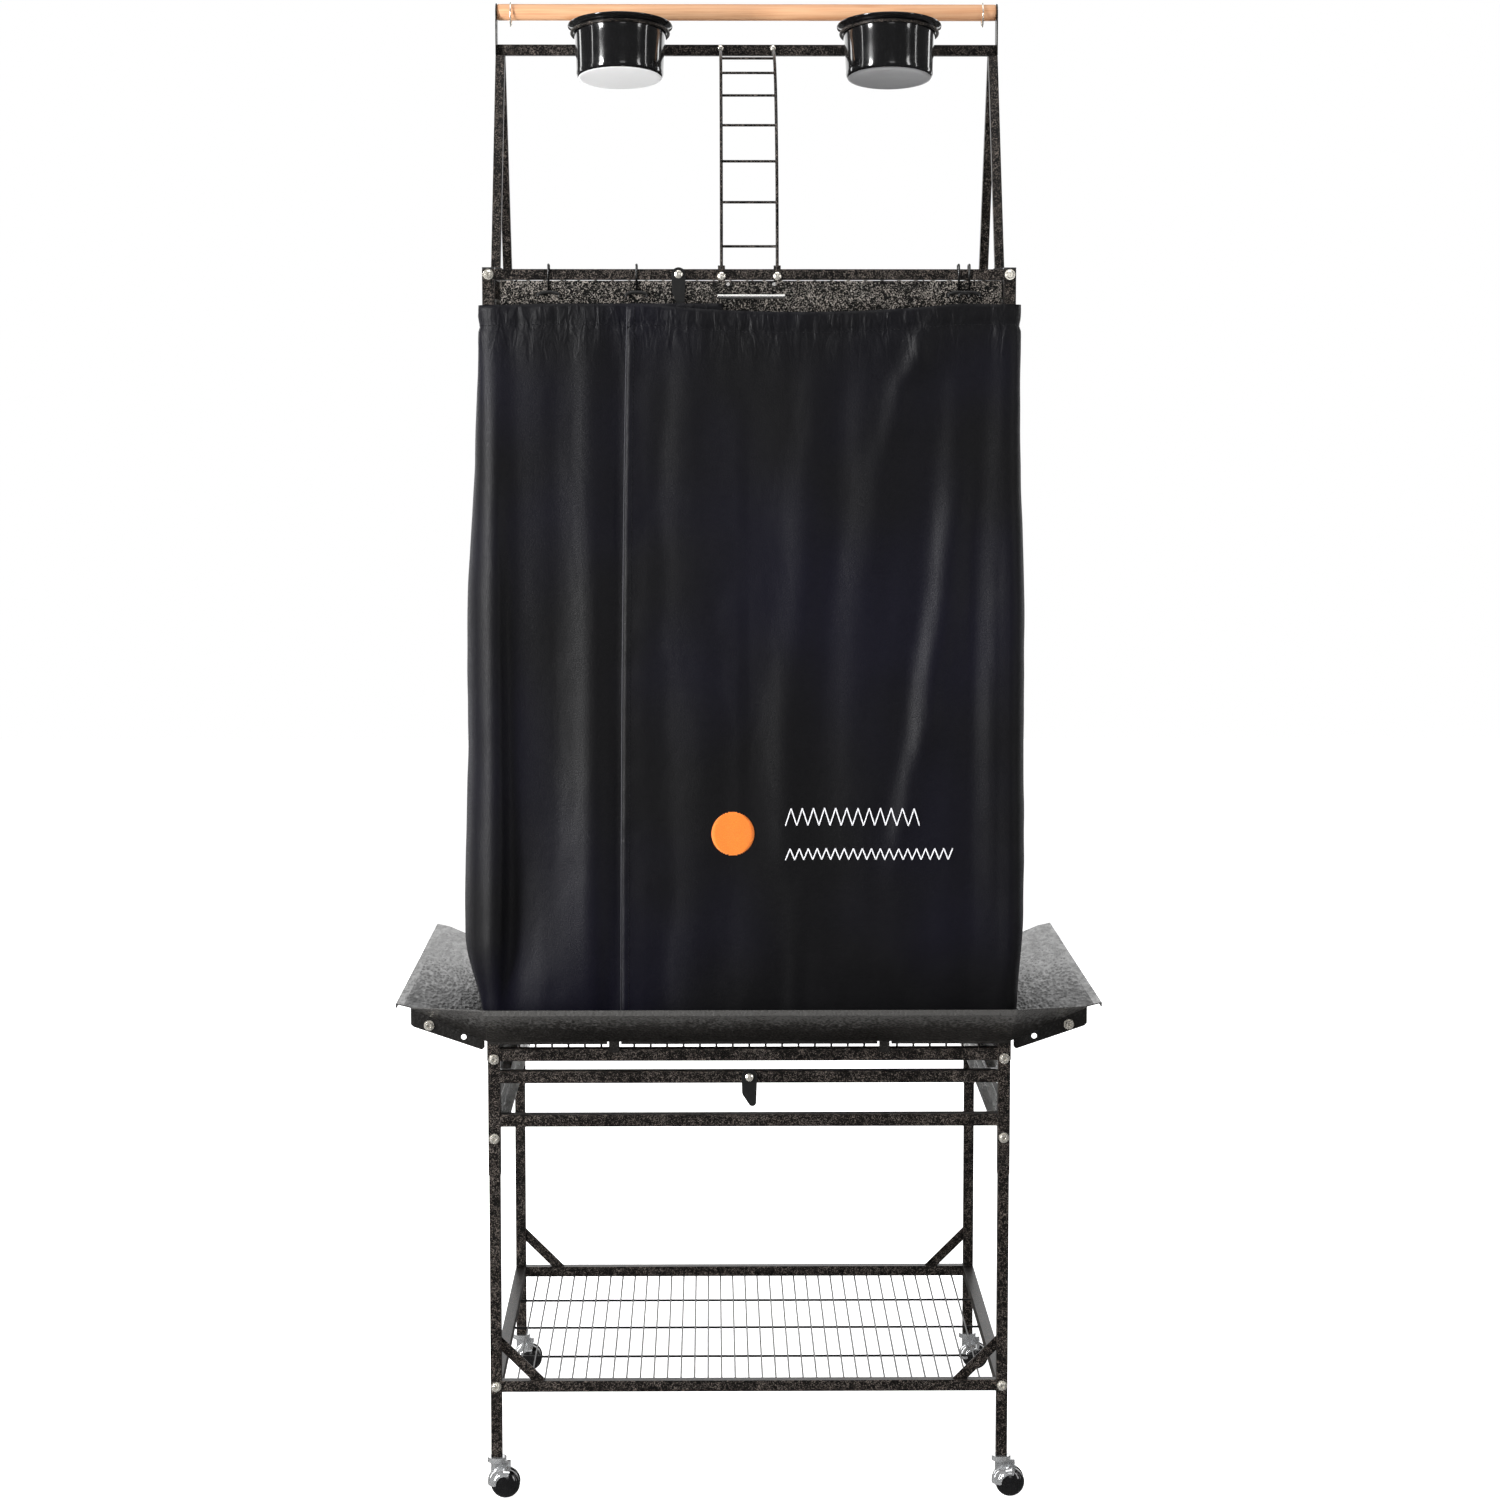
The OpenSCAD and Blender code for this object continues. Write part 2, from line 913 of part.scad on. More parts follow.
// Hook over a top rail whose outer face is the plane Y = 0, with the cloth clip below it
module cover_hook() {
  front_y = -hook_wire / 2 - 0.2;
  back_y = post + hook_wire / 2 + 0.2;
  bend_z = cage_top_z + hook_lift - hook_wire / 2;
  translate([0, front_y, clip_z])
    cylinder(d = hook_wire, h = bend_z - clip_z, $fn = 16);
  translate([0, front_y - hook_wire / 2, bend_z])
    rotate([-90, 0, 0])
      cylinder(d = hook_wire, h = back_y - front_y + hook_wire, $fn = 16);
  translate([0, back_y, cage_top_z - 5])
    cylinder(d = hook_wire, h = bend_z - cage_top_z + 5, $fn = 16);
  translate([0, front_y - 0.6, clip_z])
    rotate([0, 90, 0])
      cylinder(d = 3.2, h = 20, center = true, $fn = 24);
  for (s = [-1, 1])
    translate([s * 7, front_y - 1.2, clip_z - 6])
      cylinder(d = 2.2, h = 6, $fn = 16);
}

module cover_hooks() {
  color(nickel) {
    for (x = hook_xs_front)
      translate([x, -half_d, 0])
        cover_hook();
    for (x = hook_xs_rear)
      translate([x, half_d, 0])
        rotate([0, 0, 180])
          cover_hook();
    for (s = [-1, 1], y = hook_ys_side)
      translate([s * half_w, y, 0])
        rotate([0, 0, s * 90])
          cover_hook();
  }
}

cover_gap = 5;
lap_x = -142;
lap_gap = 0.6;

// One cloth wall: a slightly bellied strip, drawn from the middle of the cage outward
module cloth_wall(reach, belly, length, shift, offset_x) {
  mid_z = (cover_top_z + cover_foot_z) / 2 - 60;
  translate([offset_x, 0, 0])
    rotate([90, 0, 90])
      linear_extrude(length, center = true)
        polygon([
          [-reach - shift, cover_foot_z],
          [-reach - shift - belly, mid_z],
          [-reach - shift, cover_top_z],
          [-reach - shift - cloth, cover_top_z],
          [-reach - shift - belly - cloth, mid_z],
          [-reach - shift - cloth, cover_foot_z]
        ]);
}

module cover() {
  reach_y = half_d + cover_gap;
  reach_x = half_w + cover_gap - 1;
  front_belly = 3;
  width = 2 * (reach_x + cloth);
  right_w = reach_x + cloth - lap_x;
  color(cloth_black)
    union() {
      cloth_wall(reach_y, front_belly, width, 0, 0);
      cloth_wall(reach_y, front_belly, right_w, cloth + lap_gap, lap_x + right_w / 2);
      rotate([0, 0, 180])
        cloth_wall(reach_y, front_belly, width, 0, 0);
      for (a = [-90, 90])
        rotate([0, 0, a])
          cloth_wall(reach_x, cover_belly, 2 * (reach_y + cloth), 0, 0);
      translate([reach_x, -reach_y - 2 * cloth - lap_gap - front_belly, cover_foot_z])
        cube([cloth, cloth + lap_gap + front_belly + overlap, cover_top_z - cover_foot_z]);
    }
}

// ---------- wire walls, door and inside ----------

header_h = 8;
header_z = tray_floor_z - sheet - header_h - 2;
cross_levels = [610, 620 + door_h + 60, 1300];
jamb = 8;
door_left = -door_w / 2;
door_gap = 3;

// Upright wires with cross wires on their inner side; the wall lies in the plane Y = 0
module wire_wall(width, low, high, levels) {
  count = floor((width - wire_pitch) / wire_pitch / 2);
  for (i = [-count:count])
    translate([i * wire_pitch, 0, low])
      wire_along_z(high - low, wire_d);
  for (z = levels)
    translate([0, wire_d - overlap, z])
      wire_along_x(width, wire_d);
}

module wire_wall_rear() {
  color(hammertone)
    translate([0, post_y, 0])
      rotate([0, 0, 180])
        wire_wall(inner_w, rail_top_z, cage_top_z - top_rail_h, cross_levels);
}

module side_wall() {
  wire_wall(inner_d, rail_top_z, cage_top_z - top_rail_h, cross_levels);
}

module wire_wall_left() {
  color(hammertone)
    translate([-post_x, 0, 0])
      rotate([0, 0, -90])
        side_wall();
}

module wire_wall_right() {
  color(hammertone)
    translate([post_x, 0, 0])
      rotate([0, 0, 90])
        side_wall();
}

// Square frame around the doorway, joined to the front wall's wires
module doorway(grow, depth) {
  w = door_w + 2 * grow;
  h = door_h + 2 * grow;
  translate([-w / 2, -depth / 2, door_z - grow])
    cube([w, depth, h]);
}

module wire_wall_front() {
  color(hammertone)
    translate([0, -post_y, 0]) {
      difference() {
        union() {
          wire_wall(inner_w, rail_top_z, header_z + overlap, cross_levels);
          doorway(door_gap + jamb, jamb);
        }
        doorway(door_gap, 4 * jamb);
      }
      translate([-inner_w / 2, -header_h / 2, header_z])
        cube([inner_w, header_h, header_h]);
      for (z = hinge_levels)
        hinge_knuckle(z - knuckle_h - 0.2, -door_gap / 2 - 4, -jamb / 2 + 1);
    }
}

hinge_levels = [door_z + 60, door_z + door_h - 60];
knuckle_d = 5.4;
knuckle_h = 14;
pin_d = 2.6;
pin_clear = 0.1;
hinge_x = door_left - door_gap / 2;
hinge_y = -jamb / 2 - knuckle_d / 2 - 0.3;

// Hinge knuckle with a leaf from the pin's line to x = reach and y = back
module hinge_knuckle(low, reach, back) {
  difference() {
    union() {
      translate([hinge_x, hinge_y, low])
        cylinder(d = knuckle_d, h = knuckle_h, $fn = 32);
      translate([min(hinge_x, hinge_x + reach), hinge_y - 0.2, low])
        cube([abs(reach), back - hinge_y + 0.2, knuckle_h]);
    }
    translate([hinge_x, hinge_y, low - 1])
      cylinder(d = pin_d + pin_clear, h = knuckle_h + 2, $fn = 32);
  }
}

module cage_door() {
  rail = 7;
  thick = 6;
  count = floor((door_w - 2 * rail - wire_pitch / 2) / wire_pitch / 2);
  color(hammertone)
    translate([0, -post_y, 0]) {
      difference() {
        doorway(0, thick);
        doorway(-rail, 4 * thick);
        translate([latch_x, 0, latch_z])
          rotate([90, 0, 0])
            cylinder(d = latch_pin_d + 0.1, h = 40, center = true, $fn = 32);
      }
      for (i = [-count:count])
        translate([i * wire_pitch, 0, door_z + rail - overlap])
          wire_along_z(door_h - 2 * rail + 2 * overlap, wire_d);
      for (z = [door_z + door_h / 3, door_z + 2 * door_h / 3])
        translate([0, wire_d - overlap, z])
          wire_along_x(door_w - 2 * rail + 2 * overlap, wire_d);
      for (z = hinge_levels)
        hinge_knuckle(z + 0.2, door_gap / 2 + 4, -1);
    }
}

module door_hinge_pins() {
  color(nickel)
    for (z = hinge_levels)
      translate([hinge_x, -post_y + hinge_y, z - knuckle_h - 2]) {
        cylinder(d = pin_d, h = 2 * knuckle_h + 4, $fn = 32);
        cylinder(d = knuckle_d - 1, h = 1.6, $fn = 32);
      }
}

latch_x = door_w / 2 - 3.5;
latch_z = door_z + door_h / 2;
latch_pin_d = 4;
tongue_l = 17;
tongue_w = 8;

// Turn latch: thumb lever outside, tongue inside, one pin through the door frame
module door_latch() {
  front_y = -4.6;
  back_y = 4.4;
  plate = 1.8;
  color(nickel)
    translate([latch_x, -post_y, latch_z]) {
      translate([0, front_y, 0])
        rotate([-90, 0, 0])
          cylinder(d = latch_pin_d, h = back_y - front_y, $fn = 32);
      for (y = [front_y - plate, back_y])
        translate([-tongue_w / 2, y, -tongue_w / 2])
          cube([tongue_w, plate, tongue_l + tongue_w / 2]);
    }
}

dowel_d = 18;
dowel_z = [780, 980];
dowel_y = [60, 150];

module inner_perches() {
  length = 2 * (post_x - wire_d - 2);
  color(natural_wood)
    for (i = [0, 1])
      translate([0, dowel_y[i], dowel_z[i]])
        rotate([0, 90, 0])
          cylinder(d = dowel_d, h = length, center = true);
  color(nickel)
    for (i = [0, 1], s = [-1, 1])
      translate([s * length / 2, dowel_y[i], dowel_z[i]])
        rotate([0, s * 90, 0])
          translate([0, 0, -overlap])
            cylinder(d = 12, h = 1.4 + overlap);
}

cup_d = 92;
cup_h = 55;
cup_z = 760;
cup_y = -110;
cup_x = post_x - 66;

module feed_cup(side) {
  color(zinc)
    translate([side * cup_x, cup_y, cup_z])
      rotate_extrude($fn = 96)
        polygon([
          [0, 0],
          [cup_d / 2 - 6, 0],
          [cup_d / 2 - 2, 4],
          [cup_d / 2 - 2, cup_h - 1.2],
          [cup_d / 2 + 4, cup_h - 1.2],
          [cup_d / 2 + 4, cup_h],
          [cup_d / 2 - 3.2, cup_h],
          [cup_d / 2 - 3.2, 4.5],
          [cup_d / 2 - 6.5, 1.2],
          [0, 1.2]
        ]);
}

// Wire rings that carry the cups, each with two arms to the side wall's wires
module cup_rings() {
  ring_r = cup_d / 2 + 1;
  arm_y = 22;
  arm_start = sqrt(ring_r * ring_r - arm_y * arm_y);
  wall_x = post_x - cup_x - wire_d - wire_d / 2;
  color(hammertone)
    for (side = [-1, 1])
      translate([side * cup_x, cup_y, cup_z + cup_h - 1.2 - ring_d / 2 - 0.3]) {
        rotate_extrude($fn = 96)
          translate([ring_r, 0])
            circle(d = ring_d, $fn = 24);
        for (s = [-1, 1])
          translate([side * arm_start, s * arm_y, 0])
            rotate([0, side * 90, 0])
              cylinder(d = ring_d - 1, h = wall_x - arm_start, $fn = 24);
      }
}

// ---------- casters ----------

stem_d = 6;
stem_bore = 6.1;
collar_d = 22.5;
collar_h = 6;
web_t = 6;
axle_d = 5;
wheel_bore = 5.1;
wheel_gap = 0.5;
wheel_w = 13;
bore_depth = 9;
ball_r = wheel_d / 2 + 2;
hood_gap = 0.6;
hood_t = 1.5;

module caster_stems() {
  plug = leg - 2 * tube_wall;
  color(nickel)
    both_sides() front_and_rear()
      translate([post_x, post_y, 0]) {
        translate([-plug / 2, -plug / 2, caster_h])
          cube([plug, plug, 25]);
        translate([0, 0, caster_h - 14])
          cylinder(d = stem_d, h = 15);
      }
}

// Swivel part: collar, web, axle and a hood on the leading side
module caster() {
  top = caster_h - 0.3;
  color(nickel)
    difference() {
      union() {
        translate([0, 0, top - collar_h])
          cylinder(d = collar_d, h = collar_h);
        translate([-7, -web_t / 2, axle_z - 5])
          cube([caster_trail + 13, web_t, top - collar_h - axle_z + 5 + overlap]);
        translate([caster_trail, 0, axle_z])
          rotate([90, 0, 0])
            cylinder(d = axle_d, h = web_t + 2 * (wheel_gap + bore_depth) - 1, center = true);
        hood();
      }
      translate([0, 0, caster_h - 14.6])
        cylinder(d = stem_bore, h = 20);
    }
}

module hood() {
  inner = ball_r + hood_gap;
  outer = inner + hood_t;
  translate([caster_trail, 0, axle_z])
    intersection() {
      difference() {
        sphere(r = outer, $fn = 64);
        sphere(r = inner, $fn = 64);
      }
      rotate([90, 0, 0])
        linear_extrude(2 * (web_t / 2 + wheel_gap + wheel_w), center = true)
          polygon([[0, 0], [14, 40], [-40, 40], [-40, -4]]);
    }
}

// Two domed wheels with blind bores, so that the caster looks like a ball
module caster_wheels() {
  tread_w = 3;
  steps = 8;
  wheel_r = wheel_d / 2;
  dome_h = wheel_w - tread_w;
  turn = 90 / steps;
  dome = [for (i = [0:steps]) [wheel_r * cos(i * turn), tread_w + dome_h * sin(i * turn)]];
  color(gloss_black)
    translate([caster_trail, 0, axle_z])
      for (s = [-1, 1])
        translate([0, s * (web_t / 2 + wheel_gap), 0])
          rotate([-s * 90, 0, 0])
            rotate_extrude($fn = 64)
              polygon(concat(
                [[wheel_bore / 2, bore_depth], [wheel_bore / 2, 0], [wheel_r - 1, 0], [wheel_r, 1]],
                dome,
                [[0, bore_depth]]
              ));
}

module at_corner(sx, sy) {
  translate([sx * post_x, sy * post_y, 0])
    children();
}

corner_post(-1, -1);  // post_front_left
corner_post(1, -1);  // post_front_right
corner_post(-1, 1);  // post_rear_left
corner_post(1, 1);  // post_rear_right
post_caps();
stand_legs();
top_rails();
grate_rails();
slot_rails();
tray_rails();
tray_guides();
shelf_frame();
shelf_mesh();
shelf_braces();
frame_bolts();
seed_guard_left();
seed_guard_right();
seed_guard_front();
seed_guard_rear();
top_grille();
top_tray();
top_tray_guides();
tray_handle();
a_frame(-1);  // a_frame_left
a_frame(1);  // a_frame_right
apex_bar();
end_plates();
top_perch();
perch_rings();
ladder();
ladder_bolts();
bowl_holder(-1);  // bowl_holder_left
bowl_holder(1);  // bowl_holder_right
bowl(-1);  // bowl_left
bowl(1);  // bowl_right
latch_pivots();
latch_top();
latch_low();
cover_hooks();
cover();
wire_wall_front();
wire_wall_rear();
wire_wall_left();
wire_wall_right();
cage_door();
door_hinge_pins();
door_latch();
inner_perches();
cup_rings();
feed_cup(-1);  // feed_cup_left
feed_cup(1);  // feed_cup_right
caster_stems();
at_corner(-1, -1) caster();  // caster_front_left
at_corner(1, -1) caster();  // caster_front_right
at_corner(-1, 1) caster();  // caster_rear_left
at_corner(1, 1) caster();  // caster_rear_right
at_corner(-1, -1) caster_wheels();  // wheels_front_left
at_corner(1, -1) caster_wheels();  // wheels_front_right
at_corner(-1, 1) caster_wheels();  // wheels_rear_left
at_corner(1, 1) caster_wheels();  // wheels_rear_right
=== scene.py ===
import math

import bmesh
import bpy
import numpy as np
from mathutils import Matrix, Vector, noise


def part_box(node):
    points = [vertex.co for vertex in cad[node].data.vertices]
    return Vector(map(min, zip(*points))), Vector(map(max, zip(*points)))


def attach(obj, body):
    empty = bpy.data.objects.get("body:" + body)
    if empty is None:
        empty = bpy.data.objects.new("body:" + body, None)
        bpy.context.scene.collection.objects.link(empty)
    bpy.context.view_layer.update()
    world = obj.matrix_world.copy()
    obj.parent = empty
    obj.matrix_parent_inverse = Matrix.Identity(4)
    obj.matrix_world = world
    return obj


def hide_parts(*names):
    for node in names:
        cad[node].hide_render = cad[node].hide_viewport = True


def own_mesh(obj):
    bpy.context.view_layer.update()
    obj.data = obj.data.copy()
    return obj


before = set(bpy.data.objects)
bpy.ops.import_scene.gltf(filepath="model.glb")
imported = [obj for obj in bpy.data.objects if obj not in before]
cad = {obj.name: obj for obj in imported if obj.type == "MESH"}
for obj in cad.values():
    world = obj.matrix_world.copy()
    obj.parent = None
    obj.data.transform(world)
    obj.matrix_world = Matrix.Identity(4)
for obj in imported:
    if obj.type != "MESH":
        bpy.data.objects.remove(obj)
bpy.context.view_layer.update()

MM = 0.001

# Where finishes and painted light change on the part, in metres
CROSS_PITCH = 133.25 * MM  # between the shelf's cross wires
CROSS_WIRE = (1.7 * MM, 1.4 * MM)  # off a cross wire's middle: zinc, then black
LIP_EDGE = (0.3985, 0.4000)  # |X| where the guard wing's lip begins, with painted reflection on it
STRIP_EDGE = (-0.2705, -0.2685)  # Y where the wing's front end strip stops; the painted reflection stays off the strip
PANEL_EDGE = (0.585, 0.607)  # height where the painted highlight on the guard panel begins
HEM_EDGE = (1.30, 1.375)  # height where the cover's upper hem creases


# ---------- materials ----------

class Finish:
    """A Principled material under construction, with its nodes read from object coordinates in metres."""

    def __init__(self, name, **sockets):
        self.material = bpy.data.materials.new(name)
        self.material.use_nodes = True
        self.tree = self.material.node_tree
        self.shader = self.tree.nodes["Principled BSDF"]
        self.place = self.node("ShaderNodeTexCoord").outputs["Object"]
        for socket, value in sockets.items():
            self.set(socket.replace("_", " "), value)

    def node(self, kind, inputs=None, **settings):
        made = self.tree.nodes.new(kind)
        for key, value in settings.items():
            setattr(made, key, value)
        for socket, value in (inputs or {}).items():
            if isinstance(value, bpy.types.NodeSocket):
                self.tree.links.new(value, made.inputs[socket])
            else:
                made.inputs[socket].default_value = value
        return made

    def set(self, socket, value):
        target = self.shader.inputs[socket]
        if isinstance(value, bpy.types.NodeSocket):
            self.tree.links.new(value, target)
        elif isinstance(value, tuple) and len(value) == 3 and target.type == "RGBA":
            target.default_value = (*value, 1.0)
        else:
            target.default_value = value

    def math(self, operation, a, b=0.0, clamp=False):
        return self.node("ShaderNodeMath", {0: a, 1: b}, operation=operation, use_clamp=clamp).outputs[0]

    def stretched(self, scale, turn=(0.0, 0.0, 0.0)):
        mapping = self.node("ShaderNodeMapping", {"Vector": self.place, "Scale": scale, "Rotation": turn})
        return mapping.outputs["Vector"]

    def noise(self, scale, detail=2.0, distortion=0.0, roughness=0.5, at=None):
        inputs = {"Vector": at or self.place, "Scale": scale, "Detail": detail, "Roughness": roughness,
                  "Distortion": distortion}
        return self.node("ShaderNodeTexNoise", inputs).outputs["Fac"]

    def cells(self, scale, feature="F1", at=None):
        inputs = {"Vector": at or self.place, "Scale": scale}
        if feature == "SMOOTH_F1":
            inputs["Smoothness"] = 0.5
        return self.node("ShaderNodeTexVoronoi", inputs, feature=feature).outputs["Distance"]

    def between(self, value, low, high, to_low=0.0, to_high=1.0):
        inputs = {"Value": value, "From Min": low, "From Max": high, "To Min": to_low, "To Max": to_high}
        return self.node("ShaderNodeMapRange", inputs, interpolation_type="SMOOTHSTEP").outputs["Result"]

    def colours(self, value, *stops):
        ramp = self.node("ShaderNodeValToRGB", {"Fac": value})
        elements = ramp.color_ramp.elements
        while len(elements) < len(stops):
            elements.new(0.5)
        for element, (position, colour) in zip(elements, stops):
            element.position = position
            element.color = (*colour, 1.0)
        return ramp.outputs["Color"]

    def mix(self, share, a, b):
        made = self.tree.nodes.new("ShaderNodeMix")
        made.data_type = "RGBA"
        for socket, value in ((made.inputs[0], share), (made.inputs[6], a), (made.inputs[7], b)):
            if isinstance(value, bpy.types.NodeSocket):
                self.tree.links.new(value, socket)
            else:
                socket.default_value = value if socket.type == "VALUE" else (*value, 1.0)
        return made.outputs[2]

    def bump(self, height, strength, distance, under=None):
        inputs = {"Height": height, "Strength": strength, "Distance": distance}
        if under is not None:
            inputs["Normal"] = under
        return self.node("ShaderNodeBump", inputs).outputs["Normal"]


def vein_paint(name, scale, share, vein, ground, rough):
    """Silver-vein powder coat: crisp light squiggles over a near-black ground."""
    f = Finish(name, Specular_IOR_Level=0.16)
    field = f.noise(scale, detail=1.0, distortion=2.2)
    patches = f.between(f.noise(scale * 0.12, detail=2.0), 0.35, 0.65, -0.02, 0.02)
    line = f.between(f.math("ADD", field, patches), share, share + 0.05)
    tint = f.mix(f.noise(scale * 0.1), vein, tuple(c * k for c, k in zip(vein, (1.06, 0.96, 0.88))))
    f.set("Base Color", f.mix(line, ground, tint))
    f.set("Metallic", f.math("MULTIPLY", line, 0.35))
    f.set("Roughness", f.between(line, 0.0, 1.0, rough, rough + 0.12))
    f.set("Normal", f.bump(line, 0.4, 0.2 * MM))
    return f.material


def sheet_paint(name, grain_scale, strength, colour, rough, shade=None):
    """The same powder coat on sheet steel, where it reads as a leather-like orange peel.

    shade(finish, grain) gives a share and a lighter colour, painted light, that shows between the grains by
    that share."""
    f = Finish(name, Specular_IOR_Level=0.45)
    place = f.stretched(grain_scale)
    warped = f.noise(0.5, detail=1.0, distortion=0.8, at=place)
    cells = f.cells(1.0, "SMOOTH_F1", at=place)
    height = f.math("ADD", cells, f.math("MULTIPLY", warped, 0.8))
    # Lighter flecks in the coat, partly painted glints on the grain
    fleck_and_glint = f.between(f.noise(2.2, detail=1.0, distortion=1.2, at=place), 0.56, 0.68)
    worn = f.between(f.noise(9.0, detail=3.0), 0.35, 0.7)
    dark = tuple(c * 0.6 for c in colour)
    light = tuple(c * 3.2 for c in colour)
    base = f.mix(worn, dark, colour)
    if shade:
        # Painted light from shade, laid between the grains
        share, painted_light_colour = shade(f, f.math("ADD", cells, f.math("MULTIPLY", warped, 0.7)))
        base = f.mix(share, base, painted_light_colour)
        f.set("Specular IOR Level", f.between(share, 0.0, 1.0, 0.10, 0.45))
    f.set("Base Color", f.mix(f.math("MULTIPLY", fleck_and_glint, 0.45), base, light))
    f.set("Roughness", f.between(warped, 0.3, 0.7, rough, rough + 0.12))
    f.set("Normal", f.bump(height, strength, 0.9 * MM))
    return f.material


def wing_painted_reflection(f, grain):
    """Painted reflection: lighter on the lip and the rear half, dark between the grains in front; the end
    strips stay dark.
    """
    axes = f.node("ShaderNodeSeparateXYZ", {"Vector": f.place}).outputs
    side = f.math("ABSOLUTE", axes["X"])
    place = f.math("ADD", axes["Y"], f.math("MULTIPLY", side, 1.2))
    spot = f.math("ADD", place, f.math("MULTIPLY", grain, 0.5))
    lit = f.math("MAXIMUM", f.between(spot, 0.74, 1.00), f.between(side, *LIP_EDGE))
    inside = f.between(axes["Y"], *STRIP_EDGE)
    # The painted reflection's share and colour
    return f.math("MULTIPLY", lit, inside), (0.20, 0.198, 0.195)


def panel_painted_highlight(f, grain):
    """Painted highlight: lighter grains towards the panel's upper edge."""
    height = f.node("ShaderNodeSeparateXYZ", {"Vector": f.place}).outputs["Z"]
    spot = f.math("ADD", height, f.math("MULTIPLY", grain, 0.03))
    # The painted highlight's share and colour
    return f.math("MULTIPLY", f.between(spot, *PANEL_EDGE), 0.6), (0.075, 0.073, 0.070)


def metal(name, colour, rough, scratch=(900.0, 900.0, 60.0), dirt=0.25, metallic=1.0):
    """Plated or bare metal with fine streaks and duller patches. scratch is the streaks' scale on each axis."""
    f = Finish(name, Metallic=metallic)
    streaks = f.noise(1.0, detail=3.0, at=f.stretched(scratch))
    cloud = f.noise(60.0, detail=3.0)
    dull = tuple(c * (1 - dirt) for c in colour)
    f.set("Base Color", f.mix(f.between(cloud, 0.35, 0.7), colour, dull))
    f.set("Roughness", f.math("ADD", f.between(streaks, 0.3, 0.7, rough * 0.7, rough * 1.3),
                              f.between(cloud, 0.5, 0.8, 0.0, 0.08)))
    f.set("Normal", f.bump(streaks, 0.12, 0.08 * MM))
    return f.material


def shelf_wire(name, zinc, black):
    """Zinc on the wires that run to the back, black coat on the three cross wires."""
    f = Finish(name)
    along = f.node("ShaderNodeSeparateXYZ", {"Vector": f.place}).outputs["Y"]
    cross = f.between(f.math("PINGPONG", along, CROSS_PITCH / 2), *CROSS_WIRE)
    streaks = f.noise(1.0, detail=3.0, at=f.stretched((700.0, 60.0, 700.0)))
    cloud = f.noise(60.0, detail=3.0)
    shade = f.mix(f.between(cloud, 0.35, 0.7), zinc, tuple(c * 0.7 for c in zinc))
    f.set("Base Color", f.mix(cross, shade, black))
    f.set("Metallic", f.math("SUBTRACT", 1.0, cross))
    f.set("Roughness", f.between(streaks, 0.3, 0.7, 0.28, 0.42))
    f.set("Normal", f.bump(streaks, 0.12, 0.08 * MM))
    return f.material


def gloss_plastic(name, colour, rough, coat):
    """Moulded plastic with a faint ripple and a little dust."""
    f = Finish(name, Coat_Weight=coat, Coat_Roughness=0.04, Specular_IOR_Level=0.5)
    cloud = f.noise(45.0, detail=3.0)
    ripple = f.noise(90.0, detail=1.0)
    dust = f.between(f.noise(700.0, detail=2.0), 0.62, 0.72)
    f.set("Base Color", f.mix(f.math("MULTIPLY", dust, 0.05), colour, tuple(0.25 + c for c in colour)))
    f.set("Roughness", f.between(cloud, 0.3, 0.7, rough, rough + 0.08))
    f.set("Normal", f.bump(ripple, 0.05, 0.8 * MM))
    return f.material


def wood(name):
    """Turned softwood along X: long grain, growth bands and a few knots."""
    f = Finish(name, Specular_IOR_Level=0.35, Coat_Weight=0.12, Coat_Roughness=0.35)
    grain = f.noise(1.0, detail=5.0, distortion=0.4, at=f.stretched((14.0, 520.0, 520.0)))
    bands = f.noise(1.0, detail=2.0, distortion=0.8, at=f.stretched((2.2, 90.0, 90.0)))
    pores = f.noise(1.0, detail=2.0, at=f.stretched((60.0, 1800.0, 1800.0)))
    knots = f.cells(1.0, "F1", at=f.stretched((7.0, 34.0, 34.0)))
    knot = f.between(knots, 0.20, 0.06)
    tone = f.math("ADD", f.math("MULTIPLY", grain, 0.45), f.math("MULTIPLY", bands, 0.55))
    body = f.colours(tone, (0.28, (0.44, 0.19, 0.085)), (0.46, (0.60, 0.31, 0.16)),
                     (0.64, (0.70, 0.42, 0.24)))
    f.set("Base Color", f.mix(f.math("MULTIPLY", knot, 0.75), body, (0.44, 0.17, 0.055)))
    f.set("Roughness", f.between(grain, 0.3, 0.7, 0.42, 0.58))
    f.set("Normal", f.bump(f.math("ADD", grain, f.math("MULTIPLY", pores, 0.5)), 0.25, 0.3 * MM))
    return f.material


